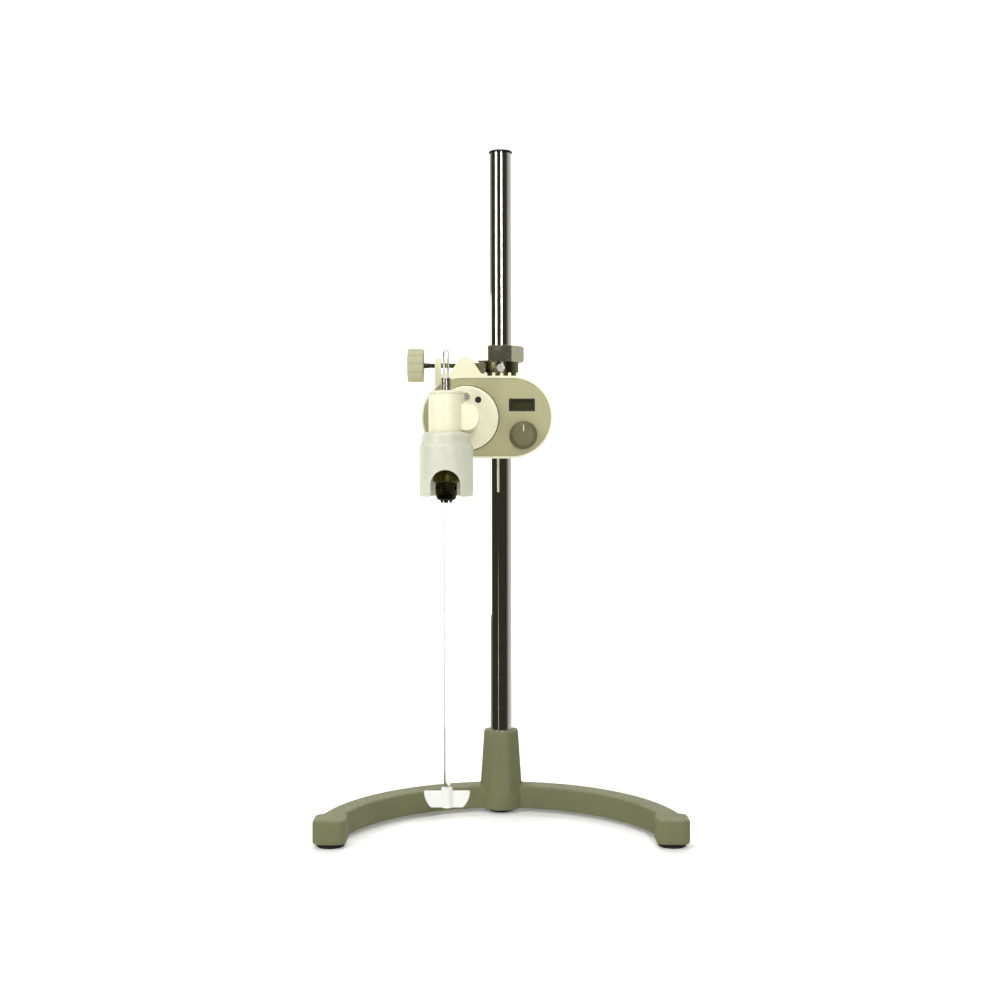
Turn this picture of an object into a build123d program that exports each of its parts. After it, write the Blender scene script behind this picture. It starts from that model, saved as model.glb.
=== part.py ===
"""Overhead laboratory stirrer on a horseshoe stand.

Frame: the origin is where the post axis meets the table, X to the right,
-Y to the front (operator's side), +Z up.  All lengths are millimetres.
"""
import os
from math import cos, radians, sin, sqrt, tan

from build123d import *

# ---------------------------------------------------------------- clearances
RUNNING_GAP = 0.05        # radial, turning or sliding fits
SCREW_GAP = 0.1           # radial, screws and pressed stems in their holes
SEAT_GAP = 0.1            # between faces that are drawn together
FREE_GAP = 0.4            # between parts that must never touch

# --------------------------------------------------------------------- stand
FOOT_HEIGHT = 4.3
FOOT_DIAMETER = 30.0
FOOT_STEM_DIAMETER = 8.0
FOOT_STEM_LENGTH = 7.0
FOOT_CHAMFER = 0.8

ARM_HEIGHT = 26.0
ARM_OUTER_RADIUS = 197.5
ARM_RADIUS_STEP = 21.5    # outer radius of the horseshoe less its inner radius
ARM_BACK_Y = 15.5         # rear edge of the horseshoe
ARM_FRONT_Y = -12.5       # inner edge of the horseshoe behind the vessel
ARM_EDGE_RADIUS = 3.0
PAD_SIZE = 36.0           # square pads at the tips of the horseshoe
PAD_CORNER_RADIUS = 9.0
PAD_INSET = 15.5          # pad centre inside the widest part of the horseshoe
PAD_Y = -152.0

BOSS_DIAMETER = 52.0
BOSS_LEDGE_Z = 23.5
BOSS_LEDGE_FLATS = 49.0
BOSS_TOP_FLATS = 39.5
BOSS_TOP_Z = 95.0
BOSS_EDGE_RADIUS = 2.0
BOSS_SIDES = 8
BOSS_VERTEX_RADIUS = 7.0

POST_DIAMETER = 25.0
POST_WALL = 2.5
POST_FOOT_Z = 16.0
POST_TOP_Z = 765.0
CAP_DIAMETER = 27.4
CAP_THICKNESS = 3.0
CAP_PLUG_LENGTH = 14.0
CAP_EDGE_RADIUS = 1.2
POST_SCREW_DIAMETER = 8.0
POST_SCREW_LENGTH = 10.0
POST_SCREW_Z = 58.0
POST_SCREW_SOCKET = 4.0
POST_SOCKET_DEPTH = 4.0

# ---------------------------------------------------------------- post clamp
CLAMP_Z = 516.0           # height of the support rod axis
CLAMP_BOTTOM_Z = 492.0
CLAMP_TOP_Z = 523.0
CLAMP_DIAMETER = 42.0
NECK_DIAMETER = 40.0
NECK_HEIGHT = 11.0
COLLET_WALL = 2.6
COLLET_FLARE = 2.4        # extra radius of the collet cone
COLLET_SLIT = 2.0
COLLET_FLANGE = 3.0       # width and height of the retaining flange
COLLET_CONE_HEIGHT = 8.0
COLLET_SOLID_HEIGHT = 6.0 # unslit length above the flange
CLAMP_CHAMFER = 1.5
NUT_FLATS = 47.0
NUT_HEIGHT = 17.5
NUT_CHAMFER = 1.2
CLAMP_ARM_FRONT_Y = -12.0
CLAMP_ARM_BACK_Y = 8.0
CLAMP_ARM_DROP = 8.5      # below the support rod axis
CLAMP_ARM_RISE = 6.5      # above the support rod axis
LOCK_SCREW_DIAMETER = 5.0
LOCK_SCREW_FLATS = 9.0
LOCK_SCREW_HEAD = 3.6

ROD_AXIS_X = -39.4        # support rod, axis along Y
SUPPORT_ROD_DIAMETER = 12.0
SUPPORT_ROD_FRONT_Y = -68.5
ROD_SLEEVE_DIAMETER = 22.0
ROD_SLEEVE_FRONT_Y = -24.0
ROD_SLEEVE_BACK_Y = 10.0
ROD_SCREW_DIAMETER = 6.0
ROD_SCREW_Y = -6.0
ROD_SLEEVE_CHAMFER = 1.0
SUPPORT_ROD_CHAMFER = 0.8

# -------------------------------------------------------------- drive housing
HOUSING_WIDTH = 146.0
HOUSING_HEIGHT = 91.4
HOUSING_X = -15.0
HOUSING_Z = 457.9
HOUSING_BACK_Y = -28.0
HOUSING_FRONT_Y = -82.0
HOUSING_WALL = 2.5
HOUSING_BACK_RADIUS = 7.0
HOUSING_RIM_RADIUS = 1.0
HOUSING_POST_RADIUS = 5.0
HOUSING_SCREW_INSET = 10.0
HOUSING_SCREW_DIAMETER = 4.0
HOUSING_SCREW_HEAD = 7.6
HOUSING_SCREW_HEAD_HEIGHT = 2.4
SCREW_HEAD_RECESS = 0.4   # screw heads below the surface round them
CROSS_SLOT_REACH = 2.4    # half length of the cross recess in a screw
CROSS_SLOT_WIDTH = 1.0
CROSS_SLOT_DEPTH = 1.0

PANEL_INSET = 0.6         # depth of the panel face behind the rim
PANEL_THICKNESS = 3.0
PANEL_GAP = 0.25
PLATE_THICKNESS = 4.0
PLATE_SETBACK = 2.0       # space between panel and chassis plate

VENT_PITCH = 9.0
VENT_COUNT = 5
VENT_WIDTH = 4.5
VENT_FIN_HEIGHT = 5.6
VENT_CENTRE_X = -3.4
VENT_FRONT_Y = -50.0
VENT_BACK_Y = -34.0
VENT_FIN_TAPER = 0.6
VENT_END_WALL = 2.0

BRACKET_FRONT_Y = -72.0
BRACKET_BACK_Y = -52.0
BRACKET_TOP_Z = 506.6
BRACKET_LEFT_X = -73.5
BRACKET_RIGHT_X = -16.0
BRACKET_PEAK_RADIUS = 9.2
PEAK_LEFT_X = -58.6
PEAK_RIGHT_X = -20.3
LUG_THICKNESS = 7.0
LUG_TOP_Z = 524.0
LUG_SETBACK = 3.0
PEAK_FOOT_DEPTH = 2.0
BRACKET_SCREW_DIAMETER = 4.0
BRACKET_SCREW_PITCH = 14.0
BRACKET_SCREW_REACH = 4.0
BRACKET_SCREW_HEAD = 7.2
BRACKET_SCREW_HEAD_HEIGHT = 2.4

THUMB_Y = -62.0
THUMB_SCREW_DIAMETER = 6.0
THUMB_KNOB_DIAMETER = 38.0
THUMB_KNOB_WIDTH = 18.0
THUMB_KNOB_RIGHT_X = -86.0
THUMB_FLUTES = 12
THUMB_FLUTE_RADIUS = 3.2
THUMB_FLUTE_OFFSET = 2.4
THUMB_KNOB_CHAMFER = 1.5
THUMB_SCREW_GRIP = 10.0   # length of the screw inside its knob

# -------------------------------------------------------- display and controls
WINDOW_WIDTH = 29.0
WINDOW_HEIGHT = 14.2
WINDOW_X = 23.4
WINDOW_Z = 471.4
DISPLAY_BORDER = 1.9
DISPLAY_OVERLAP = 1.5     # pane inside the edge of the window
DISPLAY_DEPTH = 1.3
DISPLAY_SEAT = 0.2
WINDOW_CORNER_RADIUS = 0.8
BOARD_THICKNESS = 1.6
BOARD_CORNER_RADIUS = 3.0
BOARD_SPACER = 2.0        # chassis plate to board
BOARD_EDGE_GAP = 2.0
PILLAR_RADIUS = 3.0
PILLAR_LEFT = 20.0        # pillars from the middle of the board
PILLAR_RIGHT = 14.0
PILLAR_RISE = 26.0
HEAT_SINK_LEFT = 17.0     # heat sink from the middle of the board
HEAT_SINK_WIDTH = 34.0
HEAT_SINK_DROP = 12.0
HEAT_SINK_LENGTH = 16.0
HEAT_SINK_DEPTH = 8.0
HEAT_SINK_BASE = 2.0
HEAT_SINK_SLOTS = 4
HEAT_SINK_PITCH = 7.4
HEAT_SINK_SLOT = 3.2
CAPACITOR_RADIUS = 5.0
CAPACITOR_LENGTH = 14.0
CAPACITOR_LEFT = 10.0     # capacitor from the middle of the board
CAPACITOR_RISE = 20.0
BOARD_WIDTH = 50.0
BOARD_HEIGHT = 66.0
BOARD_X = 25.0
BOARD_Z = 458.0
KNOB_X = 25.0
KNOB_Z = 438.0
KNOB_SKIRT_DIAMETER = 31.0
KNOB_CAP_DIAMETER = 24.0
KNOB_SKIRT_HEIGHT = 3.6
KNOB_HEIGHT = 14.0
KNOB_SKIRT_EDGE = 1.6
KNOB_SHOULDER = 1.2       # cap radius to the foot of its slope
KNOB_TOP_CHAMFER = 1.0
KNOB_FLUTES = 16
KNOB_FLUTE_RADIUS = 1.2
KNOB_FLUTE_OFFSET = 1.3
KNOB_MARK_START = 4.0
KNOB_MARK_WIDTH = 1.0
KNOB_MARK_DEPTH = 0.5
KNOB_GRIP_START = 4.0     # shaft end below the top of the knob
POT_SHAFT_DIAMETER = 6.0
POT_DIAMETER = 16.0
POT_BACK_WALL = 1.5
SWITCH_WIDTH = 14.0
SWITCH_HEIGHT = 21.0
SWITCH_X = 20.0
SWITCH_Z = 466.0
SWITCH_TILT = 8.0         # degrees each side of level
SWITCH_FLANGE = 2.0
SWITCH_FLANGE_THICKNESS = 1.5
SWITCH_DEPTH = 14.0
SWITCH_WELL_DEPTH = 9.0
SWITCH_WALL = 1.5
ROCKER_END_GAP = 0.9
ROCKER_SIDE_GAP = 0.5
ROCKER_DEPTH = 6.0
ROCKER_DISH = 0.4
ROCKER_FOOT_INSET = 2.0
ROCKER_PIVOT_DEPTH = 4.0
ROCKER_PIN_DIAMETER = 2.4
GLAND_X = 36.0
GLAND_Z = 430.0
GLAND_DIAMETER = 14.0
GLAND_BORE = 7.0
GLAND_PROTRUSION = 12.0
GLAND_NUT_HEIGHT = 4.0
GLAND_COLLAR_HEIGHT = 8.0
GLAND_THREAD_STEP = 1.5   # thread radius inside the nut's flats
GLAND_THREAD_LENGTH = 8.0
GLAND_LIP = 1.4
GLAND_COLLAR_STEP = 0.5   # collar radius inside the nut's

# ----------------------------------------------------------------- gear head
GEAR_X = -37.8            # motor and worm axis, along Y
GEAR_Z = 456.8
SPINDLE_X = -59.0         # spindle axis, along Z
SPINDLE_Y = -120.0
DISC_DIAMETER = 71.0
DISC_FRONT_Y = -89.0
DISC_RECESS_DIAMETER = 76.0
HUB_DIAMETER = 28.8
HUB_FRONT_Y = -131.0
HUB_PEAK_RADIUS = 6.0
HUB_PEAK_Z = 471.0
HUB_COVER_THICKNESS = 3.0
BARREL_DIAMETER = 38.0
BARREL_TOP_Z = 485.0
BARREL_BOTTOM_Z = 424.0
BARREL_CAP_THICKNESS = 3.0
BARREL_CAVITY_DIAMETER = 31.0
BEARING_DIAMETER = 24.0
BEARING_WIDTH = 7.0
FLANGE_SCREW_X = -38.3
FLANGE_SCREW_Z = 480.0
FLANGE_PLUG_X = -24.9
FLANGE_PLUG_Z = 476.8
FLANGE_SCREW_HEAD = 7.4
FLANGE_SCREW_RECESS = 2.2
FLANGE_PLUG_DIAMETER = 5.0
FLANGE_PLUG_LENGTH = 6.0
DISC_EDGE_RADIUS = 1.5
WEB_FRONT = 4.0           # web between hub and barrel, before the spindle axis
WEB_HALF_HEIGHT = 14.0
BEARING_FLOOR = 4.0       # wall between lower bearing and gear space
BEARING_CEILING = 2.0     # wall between gear space and upper bearing
BEARING_PASSAGE = 2.0     # radial room for the spindle beside its bearings
CAP_RIM_RADIUS = 1.5

MOTOR_DIAMETER = 50.0
MOTOR_LENGTH = 38.0
MOTOR_CHAMFER = 1.5
MOTOR_SPIGOT_DIAMETER = 15.8
MOTOR_SPIGOT_HOLE = 16.0
MOTOR_END_WALL = 3.0
MOTOR_SHAFT_DIAMETER = 6.0
WORM_DIAMETER = 15.6
WORM_LENGTH = 20.0
WHEEL_WIDTH = 12.0
WORM_BEARING_DIAMETER = 17.0
WORM_BEARING_WIDTH = 4.0

SPINDLE_DIAMETER = 11.0
SPINDLE_BORE = 7.7
SPINDLE_TOP_Z = 499.0
SPINDLE_BOTTOM_Z = 400.0
SPINDLE_CHAMFER = 0.6

# --------------------------------------------------------------------- chuck
CHUCK_TOP_Z = 414.0
CHUCK_BOTTOM_Z = 367.0
CHUCK_DIAMETER = 23.7
CHUCK_NOSE_DIAMETER = 16.0
CHUCK_NOSE_HEIGHT = 7.0
CHUCK_NOSE_LIP = 2.4
CHUCK_NOSE_LIP_RISE = 1.6
CHUCK_TOP_CHAMFER = 3.0
CHUCK_GROOVE_DEPTH = 1.4
SLEEVE_DIAMETER = 28.7
SLEEVE_BOTTOM_Z = 386.0
SLEEVE_TOP_Z = 406.0
SLEEVE_WALL = 1.2         # outside the nut ring
SLEEVE_BEVEL_WIDTH = 1.6
SLEEVE_BEVEL_HEIGHT = 1.8
SLEEVE_TOP_CHAMFER = 1.0
SLEEVE_TOOTH_LENGTH = 5.0
SLEEVE_TEETH = 18
SLEEVE_TOOTH_DEPTH = 1.3
JAW_DIAMETER = 5.0
JAW_ANGLE = 10.0          # degrees between each jaw's axis and the spindle
JAW_TIP_Z = 363.5
JAW_LENGTH = 28.0
JAW_TRAVEL = 4.0
JAW_COUNT = 3
JAW_FIRST_TURN = 30.0     # degrees from X to the first jaw
JAW_ROD_GAP = 0.7         # rod to the middle of a jaw's tip
JAW_TIP_FLAT = 0.8
NUT_RING_RISE = 1.5       # nut ring above the sleeve's lower edge
NUT_RING_HEIGHT = 5.0
KEY_HOLE_DIAMETER = 5.0
KEY_HOLE_Z = 380.5
KEY_HOLE_DEPTH = 4.85

GUARD_NECK_DIAMETER = 53.0
GUARD_DIAMETER = 58.6
GUARD_TOP_Z = 441.0
GUARD_STEP_Z = 426.0
GUARD_BOTTOM_Z = 371.0
GUARD_WALL = 2.2
GUARD_SHOULDER_RADIUS = 5.0
GUARD_COLLAR_DEPTH = 12.0
GUARD_ARCH_WIDTH = 32.0
GUARD_ARCH_TOP_Z = 400.0
GUARD_RING_HEIGHT = 3.0
GUARD_RING_SECTION = 2.0
GUARD_STEP_HEIGHT = 3.0
GUARD_COLLAR_WALL = 4.2

STIR_ROD_DIAMETER = 7.0
STIR_ROD_TOP_Z = 530.0
BLADE_BOTTOM_Z = 33.0
BLADE_WIDTH = 50.0
BLADE_HEIGHT = 18.0
BLADE_THICKNESS = 4.0
BLADE_HUB_DIAMETER = 12.0
BLADE_HUB_RISE = 4.0      # hub above the straight edge
BLADE_HUB_FLOOR = 2.0
STIR_ROD_END_RADIUS = 2.0

# ------------------------------------------------------------- derived values
arm_top_z = FOOT_HEIGHT + ARM_HEIGHT
outer_centre_y = ARM_BACK_Y - ARM_OUTER_RADIUS
arm_inner_radius = ARM_OUTER_RADIUS - ARM_RADIUS_STEP
inner_centre_y = ARM_FRONT_Y - arm_inner_radius
pad_x = ARM_OUTER_RADIUS - PAD_INSET
post_radius = POST_DIAMETER / 2
collet_radius = post_radius + RUNNING_GAP + COLLET_WALL
collet_top_z = CLAMP_TOP_Z + NECK_HEIGHT + COLLET_CONE_HEIGHT / 4
cone_z = collet_top_z - COLLET_CONE_HEIGHT
nut_bottom_z = CLAMP_TOP_Z + FREE_GAP
nut_top_z = nut_bottom_z + NUT_HEIGHT
panel_front_y = HOUSING_FRONT_Y + PANEL_INSET
panel_back_y = panel_front_y + PANEL_THICKNESS
plate_front_y = panel_back_y + PLATE_SETBACK
plate_back_y = plate_front_y + PLATE_THICKNESS
board_front_y = plate_back_y + BOARD_SPACER
board_back_y = board_front_y + BOARD_THICKNESS
housing_top_z = HOUSING_Z + HOUSING_HEIGHT / 2
housing_end_radius = HOUSING_HEIGHT / 2
worm_radius = WORM_DIAMETER / 2
wheel_radius = (GEAR_X - SPINDLE_X) - worm_radius - FREE_GAP
spindle_radius = SPINDLE_DIAMETER / 2
stir_rod_radius = STIR_ROD_DIAMETER / 2
jaw_radius = JAW_DIAMETER / 2
jaw_slope = tan(radians(JAW_ANGLE))
jaw_tip_offset = stir_rod_radius + JAW_ROD_GAP
barrel_radius = BARREL_DIAMETER / 2
barrel_shoulder_z = BARREL_TOP_Z - BARREL_CAP_THICKNESS
nut_ring_bottom_z = SLEEVE_BOTTOM_Z + NUT_RING_RISE
nut_ring_top_z = nut_ring_bottom_z + NUT_RING_HEIGHT
chuck_radius = CHUCK_DIAMETER / 2
sleeve_radius = SLEEVE_DIAMETER / 2
switch_face_y = HOUSING_BACK_Y + SWITCH_FLANGE_THICKNESS
small_screw_hole = HOUSING_SCREW_DIAMETER / 2 + SCREW_GAP


# ---------------------------------------------------------------- helpers
def upright(radius, bottom, top, x=0.0, y=0.0):
    """Cylinder along Z."""
    return Pos(x, y, (bottom + top) / 2) * Cylinder(radius, top - bottom)


def lengthwise(radius, front, back, x, z):
    """Cylinder along Y, from its front face to its back face."""
    return Pos(x, (front + back) / 2, z) * Rot(X=90) * Cylinder(radius, back - front)


def crosswise(radius, left, right, y, z):
    """Cylinder along X."""
    return Pos((left + right) / 2, y, z) * Rot(Y=90) * Cylinder(radius, right - left)


def block(x0, x1, y0, y1, z0, z1):
    """Box between two corners."""
    centre = Pos((x0 + x1) / 2, (y0 + y1) / 2, (z0 + z1) / 2)
    return centre * Box(x1 - x0, y1 - y0, z1 - z0)


def front_prism(outline, front, back):
    """Solid of an outline drawn in X and Z, between two values of Y."""
    return extrude(Plane.XZ.offset(-back) * outline, back - front)


def turned(profile, x=0.0, y=0.0):
    """Solid of revolution about a vertical axis; the profile holds radius and height."""
    return Pos(x, y, 0) * revolve(Plane.XZ * profile, Axis.Z)


def turned_lengthwise(points, x, z):
    """Solid of revolution about an axis along Y, from points of radius and Y."""
    outline = make_face(Polyline(*points, close=True))
    solid = revolve(Plane.XY * outline, Axis.Y)
    return Pos(x, 0, z) * solid


def polygon(*points):
    """Closed face through its corners."""
    return make_face(Polyline(*points, close=True))


def hexagon(flats):
    """Hexagon across its flats, with a flat facing along the second axis."""
    return RegularPolygon(flats / 2, 6, major_radius=False, rotation=0)


# ---------------------------------------------------------------- the stand
def boss_outline(flats):
    """Octagon with softened corners."""
    outline = RegularPolygon(flats / 2, BOSS_SIDES, major_radius=False, rotation=22.5)
    return fillet(outline.vertices(), BOSS_VERTEX_RADIUS)


def make_base_casting():
    ring = Pos(0, outer_centre_y) * Circle(ARM_OUTER_RADIUS)
    ring -= Pos(0, inner_centre_y) * Circle(arm_inner_radius)
    reach = ARM_BACK_Y - PAD_Y
    ring &= Pos(0, PAD_Y + reach / 2) * Rectangle(3 * ARM_OUTER_RADIUS, reach)
    arms = extrude(Pos(0, 0, FOOT_HEIGHT) * ring, ARM_HEIGHT)
    long_edges = arms.edges().group_by(Axis.Z)[-1].filter_by(GeomType.CIRCLE)
    arms = fillet(long_edges, ARM_EDGE_RADIUS)
    for side in (-1, 1):
        pad_place = Pos(side * pad_x, PAD_Y, FOOT_HEIGHT)
        outline = pad_place * RectangleRounded(PAD_SIZE, PAD_SIZE, PAD_CORNER_RADIUS)
        pad = extrude(outline, ARM_HEIGHT)
        arms += fillet(pad.edges().group_by(Axis.Z)[-1], ARM_EDGE_RADIUS)
    lower = upright(BOSS_DIAMETER / 2, FOOT_HEIGHT, BOSS_LEDGE_Z)
    lower = fillet(lower.edges().group_by(Axis.Z)[-1], BOSS_EDGE_RADIUS)
    taper = loft([
        Pos(0, 0, BOSS_LEDGE_Z - BOSS_EDGE_RADIUS) * boss_outline(BOSS_LEDGE_FLATS),
        Pos(0, 0, BOSS_TOP_Z) * boss_outline(BOSS_TOP_FLATS),
    ])
    taper = fillet(taper.edges().group_by(Axis.Z)[-1], BOSS_EDGE_RADIUS)
    casting = arms + lower + taper
    casting -= upright(post_radius + RUNNING_GAP, POST_FOOT_Z, BOSS_TOP_Z + 1)
    for x, y in foot_places():
        casting -= upright(FOOT_STEM_DIAMETER / 2 + SCREW_GAP, 0, FOOT_HEIGHT + FOOT_STEM_LENGTH + 1, x, y)
    screw_hole = Pos(0, BOSS_DIAMETER / 2, POST_SCREW_Z) * Rot(X=90)
    casting -= screw_hole * Cylinder(POST_SCREW_DIAMETER / 2 + SCREW_GAP, BOSS_DIAMETER - POST_DIAMETER)
    return casting


def foot_places():
    return [(-pad_x, PAD_Y), (pad_x, PAD_Y), (0, 0)]


def make_foot(x, y):
    disc = upright(FOOT_DIAMETER / 2, 0, FOOT_HEIGHT, x, y)
    disc = chamfer(disc.edges().group_by(Axis.Z)[0], FOOT_CHAMFER)
    return disc + upright(FOOT_STEM_DIAMETER / 2, FOOT_HEIGHT - 1, FOOT_HEIGHT + FOOT_STEM_LENGTH, x, y)


def make_post():
    tube = upright(post_radius, POST_FOOT_Z, POST_TOP_Z)
    return tube - upright(post_radius - POST_WALL, POST_FOOT_Z - 1, POST_TOP_Z + 1)


def make_post_cap():
    flange = upright(CAP_DIAMETER / 2, POST_TOP_Z, POST_TOP_Z + CAP_THICKNESS)
    flange = fillet(flange.edges().group_by(Axis.Z)[-1], CAP_EDGE_RADIUS)
    return flange + upright(post_radius - POST_WALL - SCREW_GAP, POST_TOP_Z - CAP_PLUG_LENGTH,
                            POST_TOP_Z + 1)


def make_post_set_screw():
    inner_y = post_radius + RUNNING_GAP
    outer_y = inner_y + POST_SCREW_LENGTH
    screw = lengthwise(POST_SCREW_DIAMETER / 2, inner_y, outer_y, 0, POST_SCREW_Z)
    socket = front_prism(hexagon(POST_SCREW_SOCKET), outer_y - POST_SOCKET_DEPTH, outer_y + 1)
    return screw - Pos(0, 0, POST_SCREW_Z) * socket


# ------------------------------------------------------------ the post clamp
def make_clamp_collet():
    """Split sleeve on the post: a retaining flange below and a cone above."""
    inner = post_radius + RUNNING_GAP
    flange_radius = collet_radius + COLLET_FLANGE
    profile = polygon(
        (inner, CLAMP_BOTTOM_Z - COLLET_FLANGE),
        (flange_radius, CLAMP_BOTTOM_Z - COLLET_FLANGE),
        (flange_radius, CLAMP_BOTTOM_Z - SEAT_GAP),
        (collet_radius, CLAMP_BOTTOM_Z - SEAT_GAP),
        (collet_radius, cone_z),
        (collet_radius + COLLET_FLARE, collet_top_z),
        (inner, collet_top_z),
    )
    collet = turned(profile)
    slit_z = CLAMP_BOTTOM_Z + COLLET_SOLID_HEIGHT
    slit = block(-COLLET_SLIT / 2, COLLET_SLIT / 2, 0, 2 * post_radius, slit_z, collet_top_z + 1)
    return collet - slit


def make_boss_head():
    """Clamp body round the collet, with an arm to the sleeve that holds the support rod."""
    body = upright(CLAMP_DIAMETER / 2, CLAMP_BOTTOM_Z, CLAMP_TOP_Z)
    body = chamfer(body.edges().group_by(Axis.Z)[0], CLAMP_CHAMFER)
    neck = upright(NECK_DIAMETER / 2, CLAMP_TOP_Z - 1, CLAMP_TOP_Z + NECK_HEIGHT)
    rod_sleeve = lengthwise(ROD_SLEEVE_DIAMETER / 2, ROD_SLEEVE_FRONT_Y, ROD_SLEEVE_BACK_Y,
                            ROD_AXIS_X, CLAMP_Z)
    rod_sleeve = chamfer(rod_sleeve.edges().filter_by(GeomType.CIRCLE), ROD_SLEEVE_CHAMFER)
    arm = block(ROD_AXIS_X, 0, CLAMP_ARM_FRONT_Y, CLAMP_ARM_BACK_Y, CLAMP_Z - CLAMP_ARM_DROP,
                CLAMP_Z + CLAMP_ARM_RISE)
    head = body + neck + arm + rod_sleeve
    bore = collet_radius + RUNNING_GAP
    passage = turned(polygon(
        (0, CLAMP_BOTTOM_Z - 1),
        (bore, CLAMP_BOTTOM_Z - 1),
        (bore, cone_z),
        (bore + COLLET_FLARE, collet_top_z),
        (0, collet_top_z),
    ))
    head -= passage
    rod_bore = SUPPORT_ROD_DIAMETER / 2 + RUNNING_GAP
    head -= lengthwise(rod_bore, ROD_SLEEVE_FRONT_Y - 1, ROD_SLEEVE_BACK_Y + 1, ROD_AXIS_X, CLAMP_Z)
    head -= lengthwise(LOCK_SCREW_DIAMETER / 2 + SCREW_GAP, -CLAMP_DIAMETER, -collet_radius, 0, CLAMP_Z)
    screw_bore = ROD_SCREW_DIAMETER / 2 + SCREW_GAP
    head -= upright(screw_bore, CLAMP_Z - ROD_SLEEVE_DIAMETER, CLAMP_Z, ROD_AXIS_X, ROD_SCREW_Y)
    return head


def make_clamp_nut():
    blank = extrude(Pos(0, 0, nut_bottom_z) * hexagon(NUT_FLATS), NUT_HEIGHT)
    corner = NUT_FLATS / sqrt(3)
    dome = turned(polygon(
        (0, nut_bottom_z - 1),
        (corner - NUT_CHAMFER * 2, nut_bottom_z - 1),
        (corner + 1, nut_bottom_z + NUT_CHAMFER),
        (corner + 1, nut_top_z - NUT_CHAMFER),
        (corner - NUT_CHAMFER * 2, nut_top_z + 0.1),
        (0, nut_top_z + 0.1),
    ))
    nut = blank & dome
    nut -= upright(NECK_DIAMETER / 2 + SCREW_GAP, nut_bottom_z - 1, CLAMP_TOP_Z + NECK_HEIGHT + FREE_GAP)
    nut -= upright(collet_radius + COLLET_FLARE + FREE_GAP, nut_bottom_z, collet_top_z + SEAT_GAP)
    return nut - upright(post_radius + FREE_GAP, nut_bottom_z, nut_top_z + 1)


def make_support_rod():
    rod = lengthwise(SUPPORT_ROD_DIAMETER / 2, SUPPORT_ROD_FRONT_Y, ROD_SLEEVE_BACK_Y - 1,
                     ROD_AXIS_X, CLAMP_Z)
    return chamfer(rod.edges().filter_by(GeomType.CIRCLE), SUPPORT_ROD_CHAMFER)


def make_rod_set_screw():
    top = CLAMP_Z - SUPPORT_ROD_DIAMETER / 2 - SEAT_GAP
    bottom = CLAMP_Z - ROD_SLEEVE_DIAMETER / 2
    return upright(ROD_SCREW_DIAMETER / 2, bottom, top, ROD_AXIS_X, ROD_SCREW_Y)


def make_swivel_lock_screw():
    face = -CLAMP_DIAMETER / 2
    shank = lengthwise(LOCK_SCREW_DIAMETER / 2, face - 1, -collet_radius - RUNNING_GAP - SEAT_GAP,
                       0, CLAMP_Z)
    head = front_prism(Pos(0, CLAMP_Z) * hexagon(LOCK_SCREW_FLATS), face - LOCK_SCREW_HEAD, face)
    return shank + head


# ------------------------------------------------------------- drive housing
def stadium(inset):
    """Outline of the housing, inset by a distance."""
    return Pos(HOUSING_X, HOUSING_Z) * SlotOverall(HOUSING_WIDTH - 2 * inset, HOUSING_HEIGHT - 2 * inset)


def housing_screw_places():
    reach = HOUSING_WIDTH / 2 - housing_end_radius
    drop = HOUSING_HEIGHT / 2 - HOUSING_SCREW_INSET
    return [(HOUSING_X + sx * reach, HOUSING_Z + sz * drop) for sx in (-1, 1) for sz in (-1, 1)]


def vent_fins():
    """Raised fins on top of the housing, one more than the slots between them."""
    fins = None
    for index in range(VENT_COUNT + 1):
        x = VENT_CENTRE_X + (index - VENT_COUNT / 2) * VENT_PITCH
        width = VENT_PITCH - VENT_WIDTH
        fin = polygon(
            (x - width / 2, housing_top_z - HOUSING_WALL),
            (x + width / 2, housing_top_z - HOUSING_WALL),
            (x + width / 2 - VENT_FIN_TAPER, housing_top_z + VENT_FIN_HEIGHT),
            (x - width / 2 + VENT_FIN_TAPER, housing_top_z + VENT_FIN_HEIGHT),
        )
        solid = front_prism(fin, VENT_FRONT_Y, VENT_BACK_Y)
        fins = solid if fins is None else fins + solid
    return fins


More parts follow.
